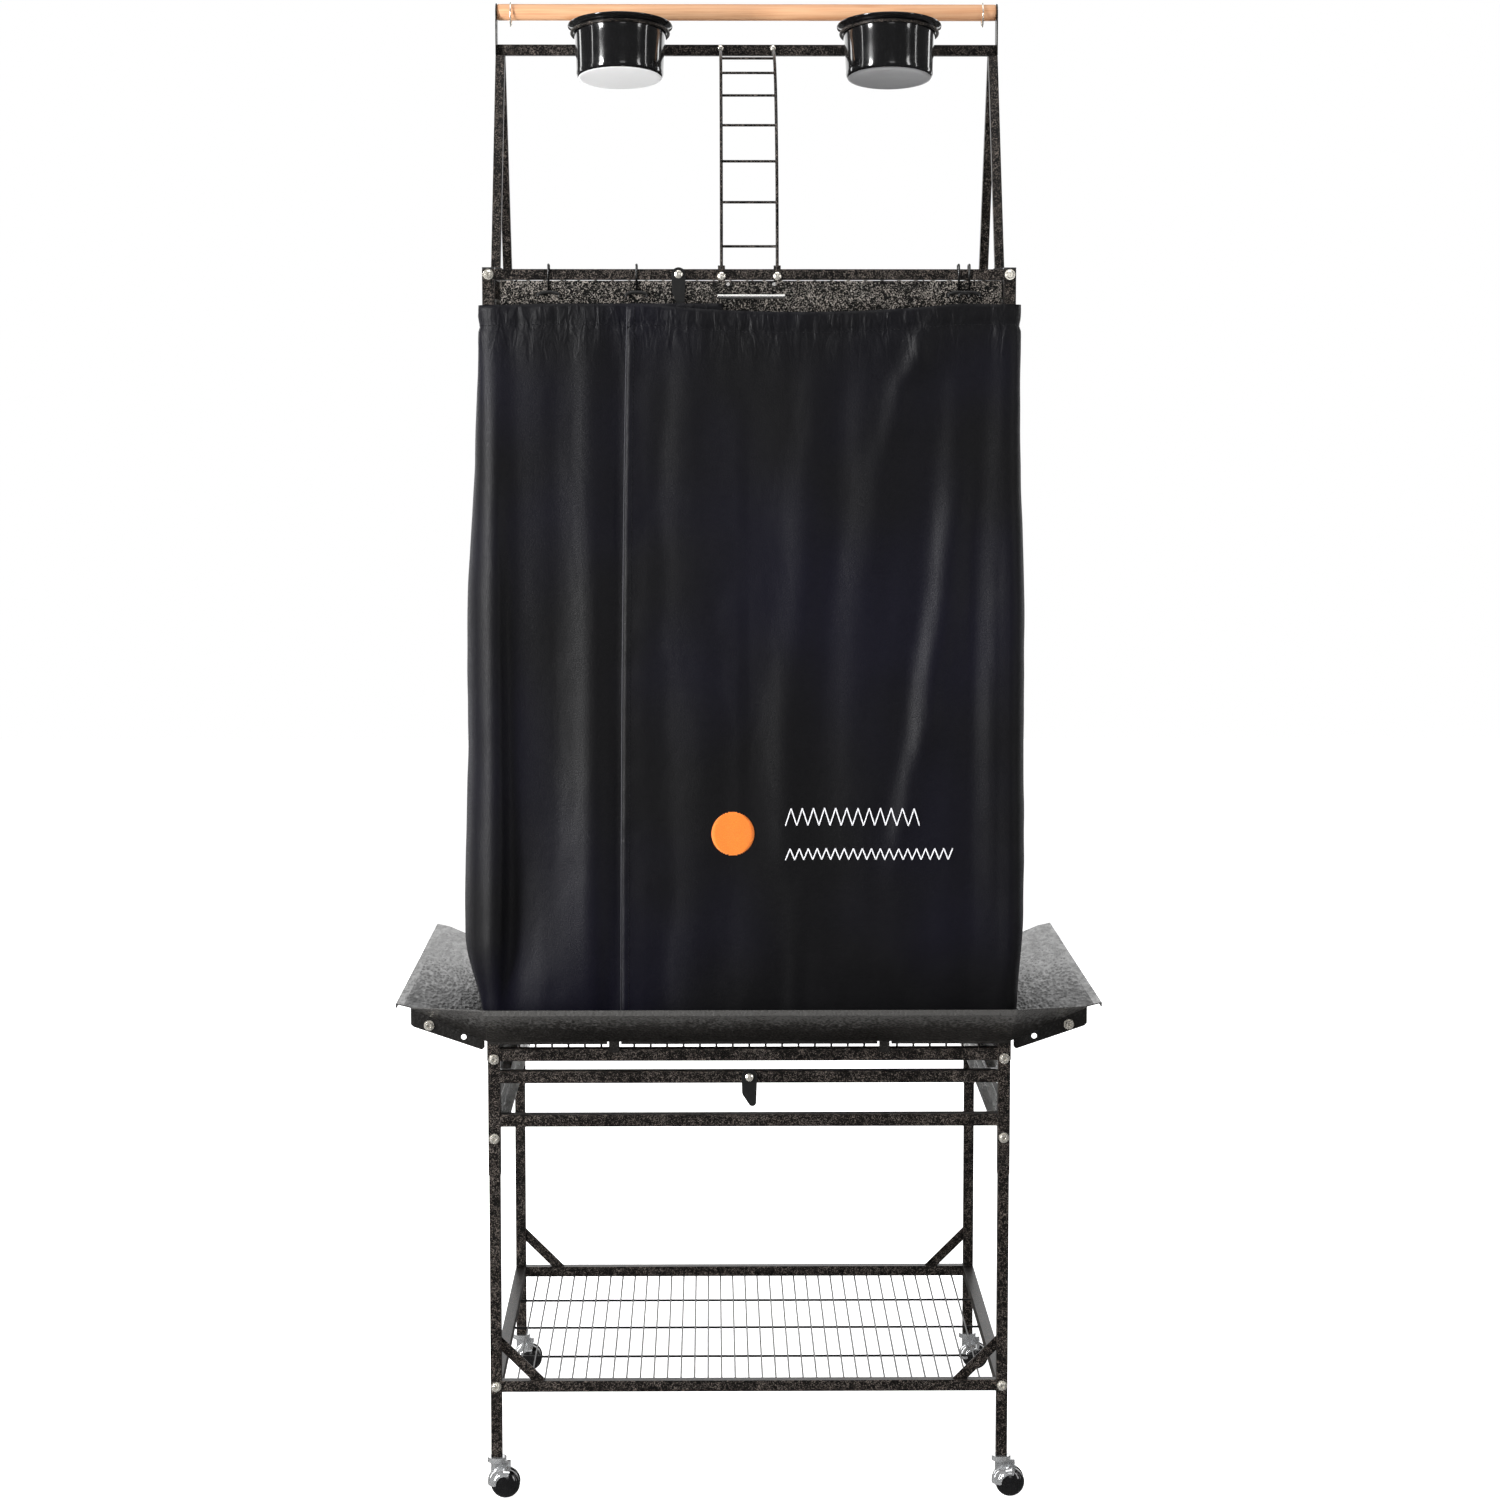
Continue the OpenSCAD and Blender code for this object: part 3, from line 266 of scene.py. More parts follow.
def satin(name, colour, tint, rough):
    """Black polyester satin: a fine crosswise crepe, faint slubs and a blue cast in broad patches, which is
    painted sheen.
    """
    f = Finish(name, Specular_IOR_Level=0.20, Sheen_Weight=0.02, Sheen_Roughness=0.35,
               Sheen_Tint=(0.7, 0.7, 0.9))
    crepe = f.noise(1.0, detail=2.0, at=f.stretched((420.0, 420.0, 1500.0)))
    warp = f.noise(1.0, detail=1.0, at=f.stretched((1700.0, 1700.0, 300.0)))
    cloud = f.noise(3.2, detail=2.0)
    slub = f.between(f.noise(1.0, detail=1.0, at=f.stretched((45.0, 45.0, 900.0))), 0.6, 0.75)
    weave = f.math("ADD", crepe, f.math("MULTIPLY", warp, 0.6))
    height = f.node("ShaderNodeSeparateXYZ", {"Vector": f.place}).outputs["Z"]
    hem = f.between(height, *HEM_EDGE)
    crease = f.noise(1.0, detail=2.0, distortion=0.6, at=f.stretched((95.0, 95.0, 26.0), (0.0, 0.8, 0.0)))
    rumple = f.noise(1.0, detail=2.0, distortion=0.5, at=f.stretched((20.0, 20.0, 9.0), (0.0, 0.35, 0.0)))
    creases = f.bump(f.math("MULTIPLY", crease, hem), 0.6, 5.0 * MM, f.bump(rumple, 0.5, 2.4 * MM))
    # The blue cast in broad random patches is painted sheen
    f.set("Base Color", f.mix(f.between(cloud, 0.42, 0.66), colour, tint))
    thread_gloss = f.between(weave, 0.55, 1.05, rough - 0.07, rough + 0.09)
    f.set("Roughness", f.math("ADD", thread_gloss, f.math("MULTIPLY", slub, 0.05)))
    f.set("Normal", f.bump(weave, 0.9, 0.28 * MM, creases))
    return f.material


def thread(name, colour, dark, gloss=0.4):
    """Twisted sewing thread."""
    f = Finish(name, Sheen_Weight=gloss, Sheen_Roughness=0.4, Specular_IOR_Level=gloss)
    twist = f.noise(1.0, detail=2.0, at=f.stretched((2600.0, 2600.0, 900.0)))
    f.set("Base Color", f.mix(f.between(twist, 0.35, 0.65), dark, colour))
    f.set("Roughness", f.between(twist, 0.3, 0.7, 0.38, 0.6))
    f.set("Normal", f.bump(twist, 0.4, 0.15 * MM))
    return f.material


PAINT = vein_paint("frame_vein_paint", 400.0, 0.57, (0.125, 0.110, 0.100), (0.002, 0.0017, 0.0015), 0.36)
TRAY_PAINT = vein_paint("tray_vein_paint", 350.0, 0.56, (0.30, 0.285, 0.265), (0.002, 0.002, 0.0018), 0.36)
WING_PAINT = sheet_paint("guard_wing_paint", (260.0, 70.0, 260.0), 0.9, (0.010, 0.0095, 0.009), 0.34,
                         wing_painted_reflection)
PANEL_PAINT = sheet_paint("guard_panel_paint", (270.0, 270.0, 270.0), 0.8, (0.014, 0.013, 0.012), 0.40,
                          panel_painted_highlight)
LEVER_PAINT = sheet_paint("lever_paint", (700.0, 700.0, 700.0), 0.12, (0.004, 0.004, 0.004), 0.36)
NICKEL = metal("bolt_nickel", (0.95, 0.91, 0.82), 0.24, dirt=0.1, metallic=0.85)
ZINC = metal("guide_zinc", (0.66, 0.66, 0.65), 0.34, scratch=(700.0, 40.0, 700.0))
SHELF_ZINC = shelf_wire("shelf_wire_zinc", (0.042, 0.042, 0.043), (0.004, 0.004, 0.004))
HOOK_ZINC = metal("hook_wire_zinc", (0.06, 0.06, 0.06), 0.30, scratch=(60.0, 60.0, 700.0))
STEEL = metal("handle_steel", (0.86, 0.85, 0.83), 0.18, scratch=(50.0, 900.0, 900.0), dirt=0.1)
CUP = metal("cup_steel", (0.78, 0.78, 0.77), 0.22, scratch=(300.0, 300.0, 900.0), dirt=0.1)
CHROME = metal("caster_chrome", (0.82, 0.83, 0.84), 0.10, scratch=(260.0, 260.0, 260.0), dirt=0.25,
               metallic=0.82)
# Both bowls have the same underside: its light grey on the left is painted light and reflection, its dark grey
# on the right painted shade
BASE_PAINTED_LIT = gloss_plastic("bowl_base_painted_lit", (0.80, 0.80, 0.80), 0.30, coat=0.2)
BASE_PAINTED_SHADE = gloss_plastic("bowl_base_painted_shade", (0.22, 0.22, 0.225), 0.30, coat=0.2)
BOWL = gloss_plastic("bowl_gloss", (0.003, 0.003, 0.0033), 0.10, coat=0.8)
WHEEL = gloss_plastic("wheel_gloss", (0.003, 0.003, 0.0033), 0.12, coat=0.8)
CAP = gloss_plastic("cap_plastic", (0.010, 0.010, 0.010), 0.38, coat=0.1)
WOOD = wood("perch_wood")
CLOTH = satin("cover_satin", (0.0022, 0.0021, 0.0028), (0.0026, 0.0023, 0.0070), 0.47)
# The flap's rolled edge: its lighter grey is a painted highlight along the fold
BINDING_PAINTED_HIGHLIGHT = satin("cover_binding", (0.040, 0.040, 0.045), (0.022, 0.022, 0.027), 0.45)
BLACK_THREAD = thread("stitch_black", (0.006, 0.006, 0.008), (0.003, 0.003, 0.004), gloss=0.08)
ORANGE_THREAD = thread("stitch_orange", (0.80, 0.22, 0.018), (0.62, 0.14, 0.010))
WHITE_THREAD = thread("stitch_white", (0.82, 0.82, 0.84), (0.58, 0.58, 0.62))


# ---------- CAD nodes that stay: material, welded normals, rounded edges ----------

TUBE_EDGE, SHEET_EDGE, BOLT_EDGE, NO_EDGE = 0.9 * MM, 0.35 * MM, 0.25 * MM, 0.0
WELD_GAP = 0.01 * MM
ROUNDED_FROM, CREASED_FROM = math.radians(40), math.radians(52)
CORNERS = ("front_left", "front_right", "rear_left", "rear_right")
KEPT = (
    (PAINT, TUBE_EDGE, ("post_front_left", "post_front_right", "post_rear_left", "post_rear_right",
                        "stand_legs", "top_rails", "grate_rails", "slot_rails", "tray_rails", "shelf_frame",
                        "a_frame_left", "a_frame_right", "apex_bar")),
    (PAINT, SHEET_EDGE, ("shelf_braces", "end_plates")),
    (PAINT, NO_EDGE, ("top_grille", "ladder", "bowl_holder_left", "bowl_holder_right", "wire_wall_front",
                      "wire_wall_rear", "wire_wall_left", "wire_wall_right", "cage_door", "cup_rings")),
    (TRAY_PAINT, SHEET_EDGE, ("top_tray",)),
    (WING_PAINT, SHEET_EDGE, ("seed_guard_left", "seed_guard_right")),
    (PANEL_PAINT, SHEET_EDGE, ("seed_guard_front", "seed_guard_rear")),
    (LEVER_PAINT, SHEET_EDGE, ("latch_top", "latch_low")),
    (NICKEL, BOLT_EDGE, ("frame_bolts", "ladder_bolts", "latch_pivots", "door_latch")),
    (NICKEL, NO_EDGE, ("perch_rings", "door_hinge_pins")),
    (ZINC, SHEET_EDGE, ("tray_guides", "top_tray_guides")),
    (SHELF_ZINC, NO_EDGE, ("shelf_mesh",)),
    (STEEL, BOLT_EDGE, ("tray_handle",)),
    (CUP, NO_EDGE, ("feed_cup_left", "feed_cup_right")),
    (CAP, BOLT_EDGE, ("post_caps",)),
    (WOOD, BOLT_EDGE, ("inner_perches",)),
    (CHROME, BOLT_EDGE, ("caster_stems", *("caster_" + corner for corner in CORNERS))),
    (WHEEL, BOLT_EDGE, ["wheels_" + corner for corner in CORNERS]),
)


def finish_cad(name, material, edge):
    """Gives a CAD node its material, smooth shading between its creases and, for edge > 0, rounded edges."""
    o = cad[name]
    o.data.materials.clear()
    o.data.materials.append(material)
    if "custom_normal" in o.data.attributes:
        o.data.attributes.remove(o.data.attributes["custom_normal"])
    o.data.shade_smooth()
    weld = o.modifiers.new("weld", "WELD")
    weld.merge_threshold = WELD_GAP
    if edge:
        bevel = o.modifiers.new("edges", "BEVEL")
        bevel.width = edge
        bevel.segments = 2
        bevel.limit_method = "ANGLE"
        bevel.angle_limit = ROUNDED_FROM
        bevel.harden_normals = True
    split = o.modifiers.new("creases", "EDGE_SPLIT")
    split.split_angle = CREASED_FROM


for material, edge, nodes in KEPT:
    for node_name in nodes:
        finish_cad(node_name, material, edge)


# ---------- mesh builders ----------

def piece(name, verts, faces, materials, indices=None):
    """A new smooth-shaded object; indices gives each face's material."""
    mesh = bpy.data.meshes.new(name)
    mesh.from_pydata([tuple(v) for v in verts], [], faces)
    for m in materials:
        mesh.materials.append(m)
    if indices is not None:
        mesh.polygons.foreach_set("material_index", indices)
    mesh.validate()
    mesh.shade_smooth()
    o = bpy.data.objects.new(name, mesh)
    bpy.context.scene.collection.objects.link(o)
    return o


TUBE_START = Vector((0.137, 0.291, 0.947))  # sets the first ring's turn; no tube runs along it


class Builder:
    """Collects tubes, lathed shapes and ring skins into one mesh."""

    def __init__(self):
        self.verts, self.faces, self.indices = [], [], []

    def rings(self, rings, caps=True):
        """Joins rings of equally many points into a skin."""
        start, n = len(self.verts), len(rings[0])
        for ring in rings:
            self.verts.extend(Vector(p) for p in ring)
        count = len(rings)
        for i in range(count - 1):
            a, b = start + i * n, start + (i + 1) * n
            for j in range(n):
                k = (j + 1) % n
                self.faces.append((a + j, a + k, b + k, b + j))
                self.indices.append(0)
        if caps:
            self.faces.append(tuple(start + j for j in reversed(range(n))))
            self.faces.append(tuple(start + (count - 1) * n + j for j in range(n)))
            self.indices += [0, 0]

    def tube(self, points, radius, sides):
        """A round tube along points; radius may be a list, one for each point."""
        pts = [Vector(p) for p in points]
        n = len(pts)
        radii = radius if isinstance(radius, list) else [radius] * n
        rings, side = [], None
        for i, p in enumerate(pts):
            before = pts[i - 1] if i else p
            after = pts[i + 1] if i < n - 1 else p
            along = (after - before).normalized()
            if side is None:
                side = TUBE_START.cross(along)
                if side.length < 1e-4:
                    side = Vector((1, 0, 0)).cross(along)
            side = (side - along * side.dot(along)).normalized()
            other = along.cross(side)
            ring = []
            for j in range(sides):
                t = 2 * math.pi * j / sides
                ring.append(p + side * (math.cos(t) * radii[i]) + other * (math.sin(t) * radii[i]))
            rings.append(ring)
        self.rings(rings)

    def lathe(self, profile, matrix, segments, index):
        """Turns (radius, height) points round the matrix's Z axis. index(i) is each band's material."""
        start = len(self.verts)
        for r, z in profile:
            for j in range(segments):
                t = 2 * math.pi * j / segments
                self.verts.append(matrix @ Vector((r * math.cos(t), r * math.sin(t), z)))
        for i in range(len(profile) - 1):
            a, b = start + i * segments, start + (i + 1) * segments
            for j in range(segments):
                k = (j + 1) % segments
                self.faces.append((a + j, a + k, b + k, b + j))
                self.indices.append(index(i))

    def object(self, name, *materials):
        o = piece(name, self.verts, self.faces, materials, self.indices)
        bm = bmesh.new()
        bm.from_mesh(o.data)
        bmesh.ops.remove_doubles(bm, verts=bm.verts, dist=1e-6)
        bmesh.ops.recalc_face_normals(bm, faces=bm.faces)
        bm.to_mesh(o.data)
        bm.free()
        o.data.shade_smooth()
        return o


def rounded(points, radius, steps):
    """A polyline with its inner corners rounded."""
    pts = [Vector(p) for p in points]
    out = [pts[0]]
    for before, corner, after in zip(pts, pts[1:], pts[2:]):
        a, b = (before - corner), (after - corner)
        r = min(radius, a.length * 0.49, b.length * 0.49)
        start, end = corner + a.normalized() * r, corner + b.normalized() * r
        for i in range(steps + 1):
            t = i / steps
            out.append(start.lerp(corner, t).lerp(corner.lerp(end, t), t))
    out.append(pts[-1])
    return out


# ---------- bowls ----------

BOWL_X = {"left": -150 * MM, "right": 167 * MM}
BOWL_Y, BOWL_Z, BOWL_LEAN = -92 * MM, 1653 * MM, math.radians(-10.5)
BOWL_PROFILE = [  # radius and height in mm: underside, shell, rolled rim, inside, floor
    (0.2, 1.2), (20, 1.1), (38, 0.9), (43, 0.5), (46.5, 0.1), (49.0, 0.7), (50.8, 2.2), (51.8, 4.4),
    (52.0, 7), (52.5, 16), (53.0, 30), (53.6, 44), (53.9, 51), (54.4, 54.8), (56.2, 57.4), (58.8, 59.6),
    (61.0, 60.8), (61.8, 61.6), (62.0, 62.2), (61.7, 62.8), (61.0, 63.0), (60.0, 63.0), (57.6, 61.6),
    (54.6, 59.2), (52.8, 56.4), (52.0, 51), (51.6, 44), (51.0, 30), (50.5, 16), (50.1, 7), (48.6, 4.2),
    (45.5, 2.9), (40, 2.4), (20, 2.3), (0.2, 2.3),
]
UNDERSIDE_BANDS, BOWL_SIDES = 5, 128


def bowl(side, base):
    """A bowl with a rolled rim, whose underside has a material of its own."""
    matrix = Matrix.Translation((BOWL_X[side], BOWL_Y, BOWL_Z)) @ Matrix.Rotation(BOWL_LEAN, 4, "X")
    b = Builder()
    profile = [(r * MM, z * MM) for r, z in BOWL_PROFILE]
    b.lathe(profile, matrix, BOWL_SIDES, lambda i: 1 if i < UNDERSIDE_BANDS else 0)
    name = "bowl_" + side
    o = b.object(name + "_shell", BOWL, base)
    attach(o, name)
    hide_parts(name)


# The left bowl gets the painted-lit underside, the right bowl the painted-shade one
bowl("left", BASE_PAINTED_LIT)
bowl("right", BASE_PAINTED_SHADE)


# ---------- top perch ----------

PERCH_SIDES, PERCH_SPANS = 40, 90


def perch():
    """A turned dowel with eased ends and a slightly uneven skin."""
    low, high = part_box("top_perch")
    axis_z, radius = (low.z + high.z) / 2, (high.z - low.z) / 2
    end = high.x - 1.5 * MM
    eased = [(0.0, 0.86), (0.6 * MM, 0.95), (1.6 * MM, 0.99)]
    body, span = end - 8 * MM, (2 * end - 16 * MM) / PERCH_SPANS
    stations = [(x - end, share) for x, share in eased]
    stations += [(i * span - body, 1.0) for i in range(PERCH_SPANS + 1)]
    stations += [(end - x, share) for x, share in reversed(eased)]
    b = Builder()
    rings = []
    for x, share in stations:
        ring = []
        for j in range(PERCH_SIDES):
            t = 2 * math.pi * j / PERCH_SIDES
            c, s = math.cos(t), math.sin(t)
            uneven = noise.noise(Vector((x * 9, c * 1.3, s * 1.3))) * 0.18 * MM
            r = (radius - 0.2 * MM) * share + uneven
            ring.append((x, c * r, axis_z + s * r))
        rings.append(ring)
    b.rings(rings)
    o = b.object("perch_dowel", WOOD)
    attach(o, "cage_frame")
    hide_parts("top_perch")


perch()


# ---------- cover hooks ----------

HALF_W, HALF_D, TOP_Z = 302 * MM, 280 * MM, 1424 * MM  # the cage over its posts
HOOKS_FRONT = (-227 * MM, -127.5 * MM, 237 * MM, 249 * MM)
HOOKS_REAR = (-230 * MM, 10 * MM, 230 * MM)
HOOKS_SIDE = (-150 * MM, 150 * MM)
HOOK_R = 1.3 * MM


def hooks():
    """Bent wire over the top rail, with the dark clip that bites the cover's casing."""
    wires, clips = Builder(), Builder()
    places = [Matrix.Translation((x, -HALF_D, 0)) for x in HOOKS_FRONT]
    places += [Matrix.Translation((x, HALF_D, 0)) @ Matrix.Rotation(math.pi, 4, "Z") for x in HOOKS_REAR]
    for s in (-1, 1):
        turn = Matrix.Rotation(s * math.pi / 2, 4, "Z")
        places += [Matrix.Translation((s * HALF_W, y, 0)) @ turn for y in HOOKS_SIDE]
    front, back = -1.5 * MM, 15.5 * MM
    tip, bend, clip = 1419 * MM, 1429 * MM, 1398 * MM
    clip_half, clip_drop = 13, 3.2 * MM
    for m in places:
        line = [(0, back, tip), (0, back, bend), (0, front, bend), (0, front, clip)]
        wires.tube([m @ p for p in rounded(line, 3.2 * MM, 8)], HOOK_R, 16)
        arc = [Vector((x * MM, front - 0.8 * MM, clip - abs(x / clip_half) ** 2.2 * clip_drop))
               for x in range(-clip_half, clip_half + 1, 2)]
        clips.tube([m @ p for p in arc], [1.3 * MM] + [2.0 * MM] * (len(arc) - 2) + [1.3 * MM], 14)
        for s in (-1, 1):
            jaw = [(s * 11 * MM, front - 1.6 * MM, clip - 2.2 * MM),
                   (s * 11.8 * MM, front - 1.9 * MM, clip - 4.6 * MM),
                   (s * 11.2 * MM, front - 1.4 * MM, clip - 6.6 * MM)]
            wires.tube([m @ Vector(p) for p in jaw], [1.1 * MM, 1.3 * MM, 0.9 * MM], 12)
    wire = wires.object("hook_wires", HOOK_ZINC)
    dark = clips.object("hook_clips", LEVER_PAINT)
    for o in (wire, dark):
        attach(o, "cage_frame")
    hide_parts("cover_hooks")


hooks()


# ---------- cover ----------

COVER_LOW, COVER_HIGH = (p.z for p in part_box("cover"))
COVER_H = COVER_HIGH - COVER_LOW
WRAP_X, WRAP_Y, WRAP_R = 307.5 * MM, 287.5 * MM, 14 * MM
LAP_X, LAP_END, LAP_LIFT = -142 * MM, -30 * MM, 4.2 * MM  # the outer flap's edge, the inner one's, their gap
COARSE, REFINE = 12 * MM, 2  # the simulated grid's pitch, and how much finer the final one is


class Wrap:
    """The line that the cover follows round the cage, from the outer flap's edge to the inner flap's."""

    def __init__(self):
        r, hx, hy = WRAP_R, WRAP_X, WRAP_Y
        straight_y, arc = 2 * (hy - r), math.pi * r / 2
        self.parts = []
        at = 0.0

        def line(p, d, n, length):
            nonlocal at
            self.parts.append(("line", at, length, Vector(p), Vector(d), Vector(n)))
            at += length

        def bend(c, start):
            nonlocal at
            self.parts.append(("arc", at, arc, Vector(c), start, None))
            at += arc

        line((LAP_X, -hy, 0), (1, 0, 0), (0, -1, 0), hx - r - LAP_X)
        self.right = at
        bend((hx - r, -hy + r, 0), -math.pi / 2)
        line((hx, -hy + r, 0), (0, 1, 0), (1, 0, 0), straight_y)
        bend((hx - r, hy - r, 0), 0.0)
        self.back = at
        line((hx - r, hy, 0), (-1, 0, 0), (0, 1, 0), 2 * (hx - r))
        bend((-hx + r, hy - r, 0), math.pi / 2)
        self.left = at
        line((-hx, hy - r, 0), (0, -1, 0), (-1, 0, 0), straight_y)
        bend((-hx + r, -hy + r, 0), math.pi)
        self.front_left = at
        line((-hx + r, -hy, 0), (1, 0, 0), (0, -1, 0), LAP_END + hx - r)
        self.length = at

    def at(self, s):
        """The point and the outward direction at a place s along the line."""
        for kind, start, length, p, d, n in self.parts:
            if s <= start + length + 1e-9:
                break
        if kind == "line":
            return p + d * (s - start), n
        t = d + (s - start) / WRAP_R
        n = Vector((math.cos(t), math.sin(t), 0))
        return p + n * WRAP_R, n


wrap = Wrap()

# Folds on the front, as (fall 0..1 down the cover, X in mm, half width in mm, outward mm) along each fold
FRONT_LEFT_FOLDS = [
    [(0.00, -292, 9, 2.0), (0.10, -292, 10, 4.0), (0.60, -297, 11, 5.0),
     (0.90, -294, 12, 4.5), (1.0, -292, 12, 3.0)],
    [(0.00, -254, 24, 0.0), (0.10, -254, 32, -3.0), (0.60, -252, 34, -4.0), (1.0, -250, 34, -3.0)],
    [(0.05, -240, 9, 0.0), (0.15, -240, 9, 0.5), (0.50, -241, 9, 0.6), (1.0, -242, 10, 0.3)],
    [(0.03, -220, 10, 0.0), (0.12, -220, 10, -0.8), (0.60, -220, 11, -0.8), (1.0, -218, 12, -0.6)],
    [(0.01, -184, 12, 0.0), (0.05, -183, 14, 2.4), (0.55, -181, 15, 2.8),
     (0.85, -180, 14, 3.4), (1.0, -178, 12, 1.0)],
    [(0.00, -148, 14, -1.0), (0.10, -146, 17, -5.5), (0.80, -152, 17, -6.0), (1.0, -156, 15, -3.5)],
]
FRONT_RIGHT_FOLDS = [
    [(0.00, -128, 12, 0.2), (0.20, -128, 14, 0.5), (1.0, -130, 14, 0.6)],
    [(0.02, -112, 18, 0.0), (0.15, -112, 20, -2.2), (1.0, -108, 22, -2.4)],
    [(0.03, -72, 22, 0.0), (0.12, -70, 24, 2.6), (0.50, -62, 28, 2.8),
     (0.80, -64, 26, 2.0), (1.0, -80, 24, 1.0)],
    [(0.03, 10, 26, 0.0), (0.15, 6, 30, -2.6), (0.60, -14, 28, -3.0), (1.0, -30, 28, -1.6)],
    [(0.03, 74, 16, 0.0), (0.12, 72, 19, 4.0), (0.30, 62, 22, 5.0), (0.60, 40, 22, 6.4),
     (0.72, 42, 20, 4.0), (0.8, 44, 16, 0.8), (1, 46, 16, 0.0)],
    [(0.03, 112, 16, 0.0), (0.15, 106, 18, -3.4), (0.50, 88, 20, -3.6),
     (0.75, 92, 20, -1.0), (1.0, 90, 20, 0.0)],
    [(0.01, 205, 9, 0.6), (0.05, 194, 11, 5.2), (0.12, 168, 14, 5.2), (0.24, 147, 18, 4.2),
     (0.42, 132, 20, 2.2), (0.6, 126, 20, 0.4), (1, 126, 20, 0.0)],
    [(0.04, 226, 12, 0.0), (0.12, 214, 15, -3.6), (0.34, 200, 18, -4.4),
     (0.60, 176, 17, -4.4), (0.78, 150, 15, -1.0), (1, 150, 16, 0.0)],
    [(0.20, 244, 12, 0.0), (0.36, 222, 15, 4.0), (0.55, 202, 15, 5.0), (0.68, 178, 13, 4.4),
     (0.76, 164, 10, 1.6), (0.82, 160, 10, 0.0), (1, 160, 10, 0)],
    [(0.10, 258, 10, 0.0), (0.40, 254, 12, -3.4), (0.80, 250, 13, -3.0), (1.0, 252, 13, -1.0)],
    [(0.02, 287, 9, 1.0), (0.20, 286, 10, 3.6), (0.60, 284, 10, 3.6), (1.0, 287, 9, 2.0)],
    [(0.76, 60, 5, 0.0), (0.82, 55, 5, 1.6), (0.97, 52, 5, 1.6), (1.0, 52, 5, 0.6)],
    [(0.80, -40, 30, 0.0), (0.90, 10, 26, 1.8), (1.0, 60, 22, 1.2)],
    [(0.80, 130, 26, 0.0), (0.90, 180, 24, 2.2), (1.0, 220, 20, 1.2)],
]


def along_fold(fold, fall):
    """A fold's centre, half width and height at a place down the cover, in metres."""
    if fall <= fold[0][0]:
        row = fold[0]
        return row[1] * MM, row[2] * MM, row[3] * MM
    for a, b in zip(fold, fold[1:]):
        if fall <= b[0]:
            t = (fall - a[0]) / (b[0] - a[0])
            t = t * t * (3 - 2 * t)
            return tuple((a[k] + (b[k] - a[k]) * t) * MM for k in (1, 2, 3))
    row = fold[-1]
    return row[1] * MM, row[2] * MM, row[3] * MM


def folds_at(folds, x, fall):
    """How far a set of folds stands out at a place on the front."""
    total = 0.0
    for fold in folds:
        centre, half, height = along_fold(fold, fall)
        u = (x - centre) / half
        if abs(u) < 4:
            total += height * math.exp(-u * u)
    return total


def smooth(value, low, high):
    """Rises from 0 at low to 1 at high."""
    t = min(1.0, max(0.0, (value - low) / (high - low)))
    return t * t * (3 - 2 * t)


SAG_HOOKS = sorted(HOOKS_FRONT)
WIDE_GAP = 60 * MM  # between hooks, where the upper edge sags
HOOK_SAG, EDGE_RISE = 7.5 * MM, 2.5 * MM
SLANT_TOP, SLANT_FALL = 4.0 * MM, 14.0 * MM  # of the flap's free edge
FRONT_BELLY, BACK_BELLY, RIGHT_BELLY, CORNER_BELLY = 2.0 * MM, 6.0 * MM, 9.5 * MM, 12.0 * MM
LEFT_BELLY, LEFT_BELLY_LOW = 17.0 * MM, 5.0 * MM
LIFT_OUT, LIFT_IN = 90 * MM, 5 * MM  # before and after the right corner, where the flap comes down
TUCK_FROM, TUCK_TO = 6 * MM, 38 * MM  # from the flap's edge, where the cloth under it turns flat
CORNER_REACH, SIDE_REACH, SLANT_REACH = 40 * MM, 60 * MM, 90 * MM  # over which a shape eases off


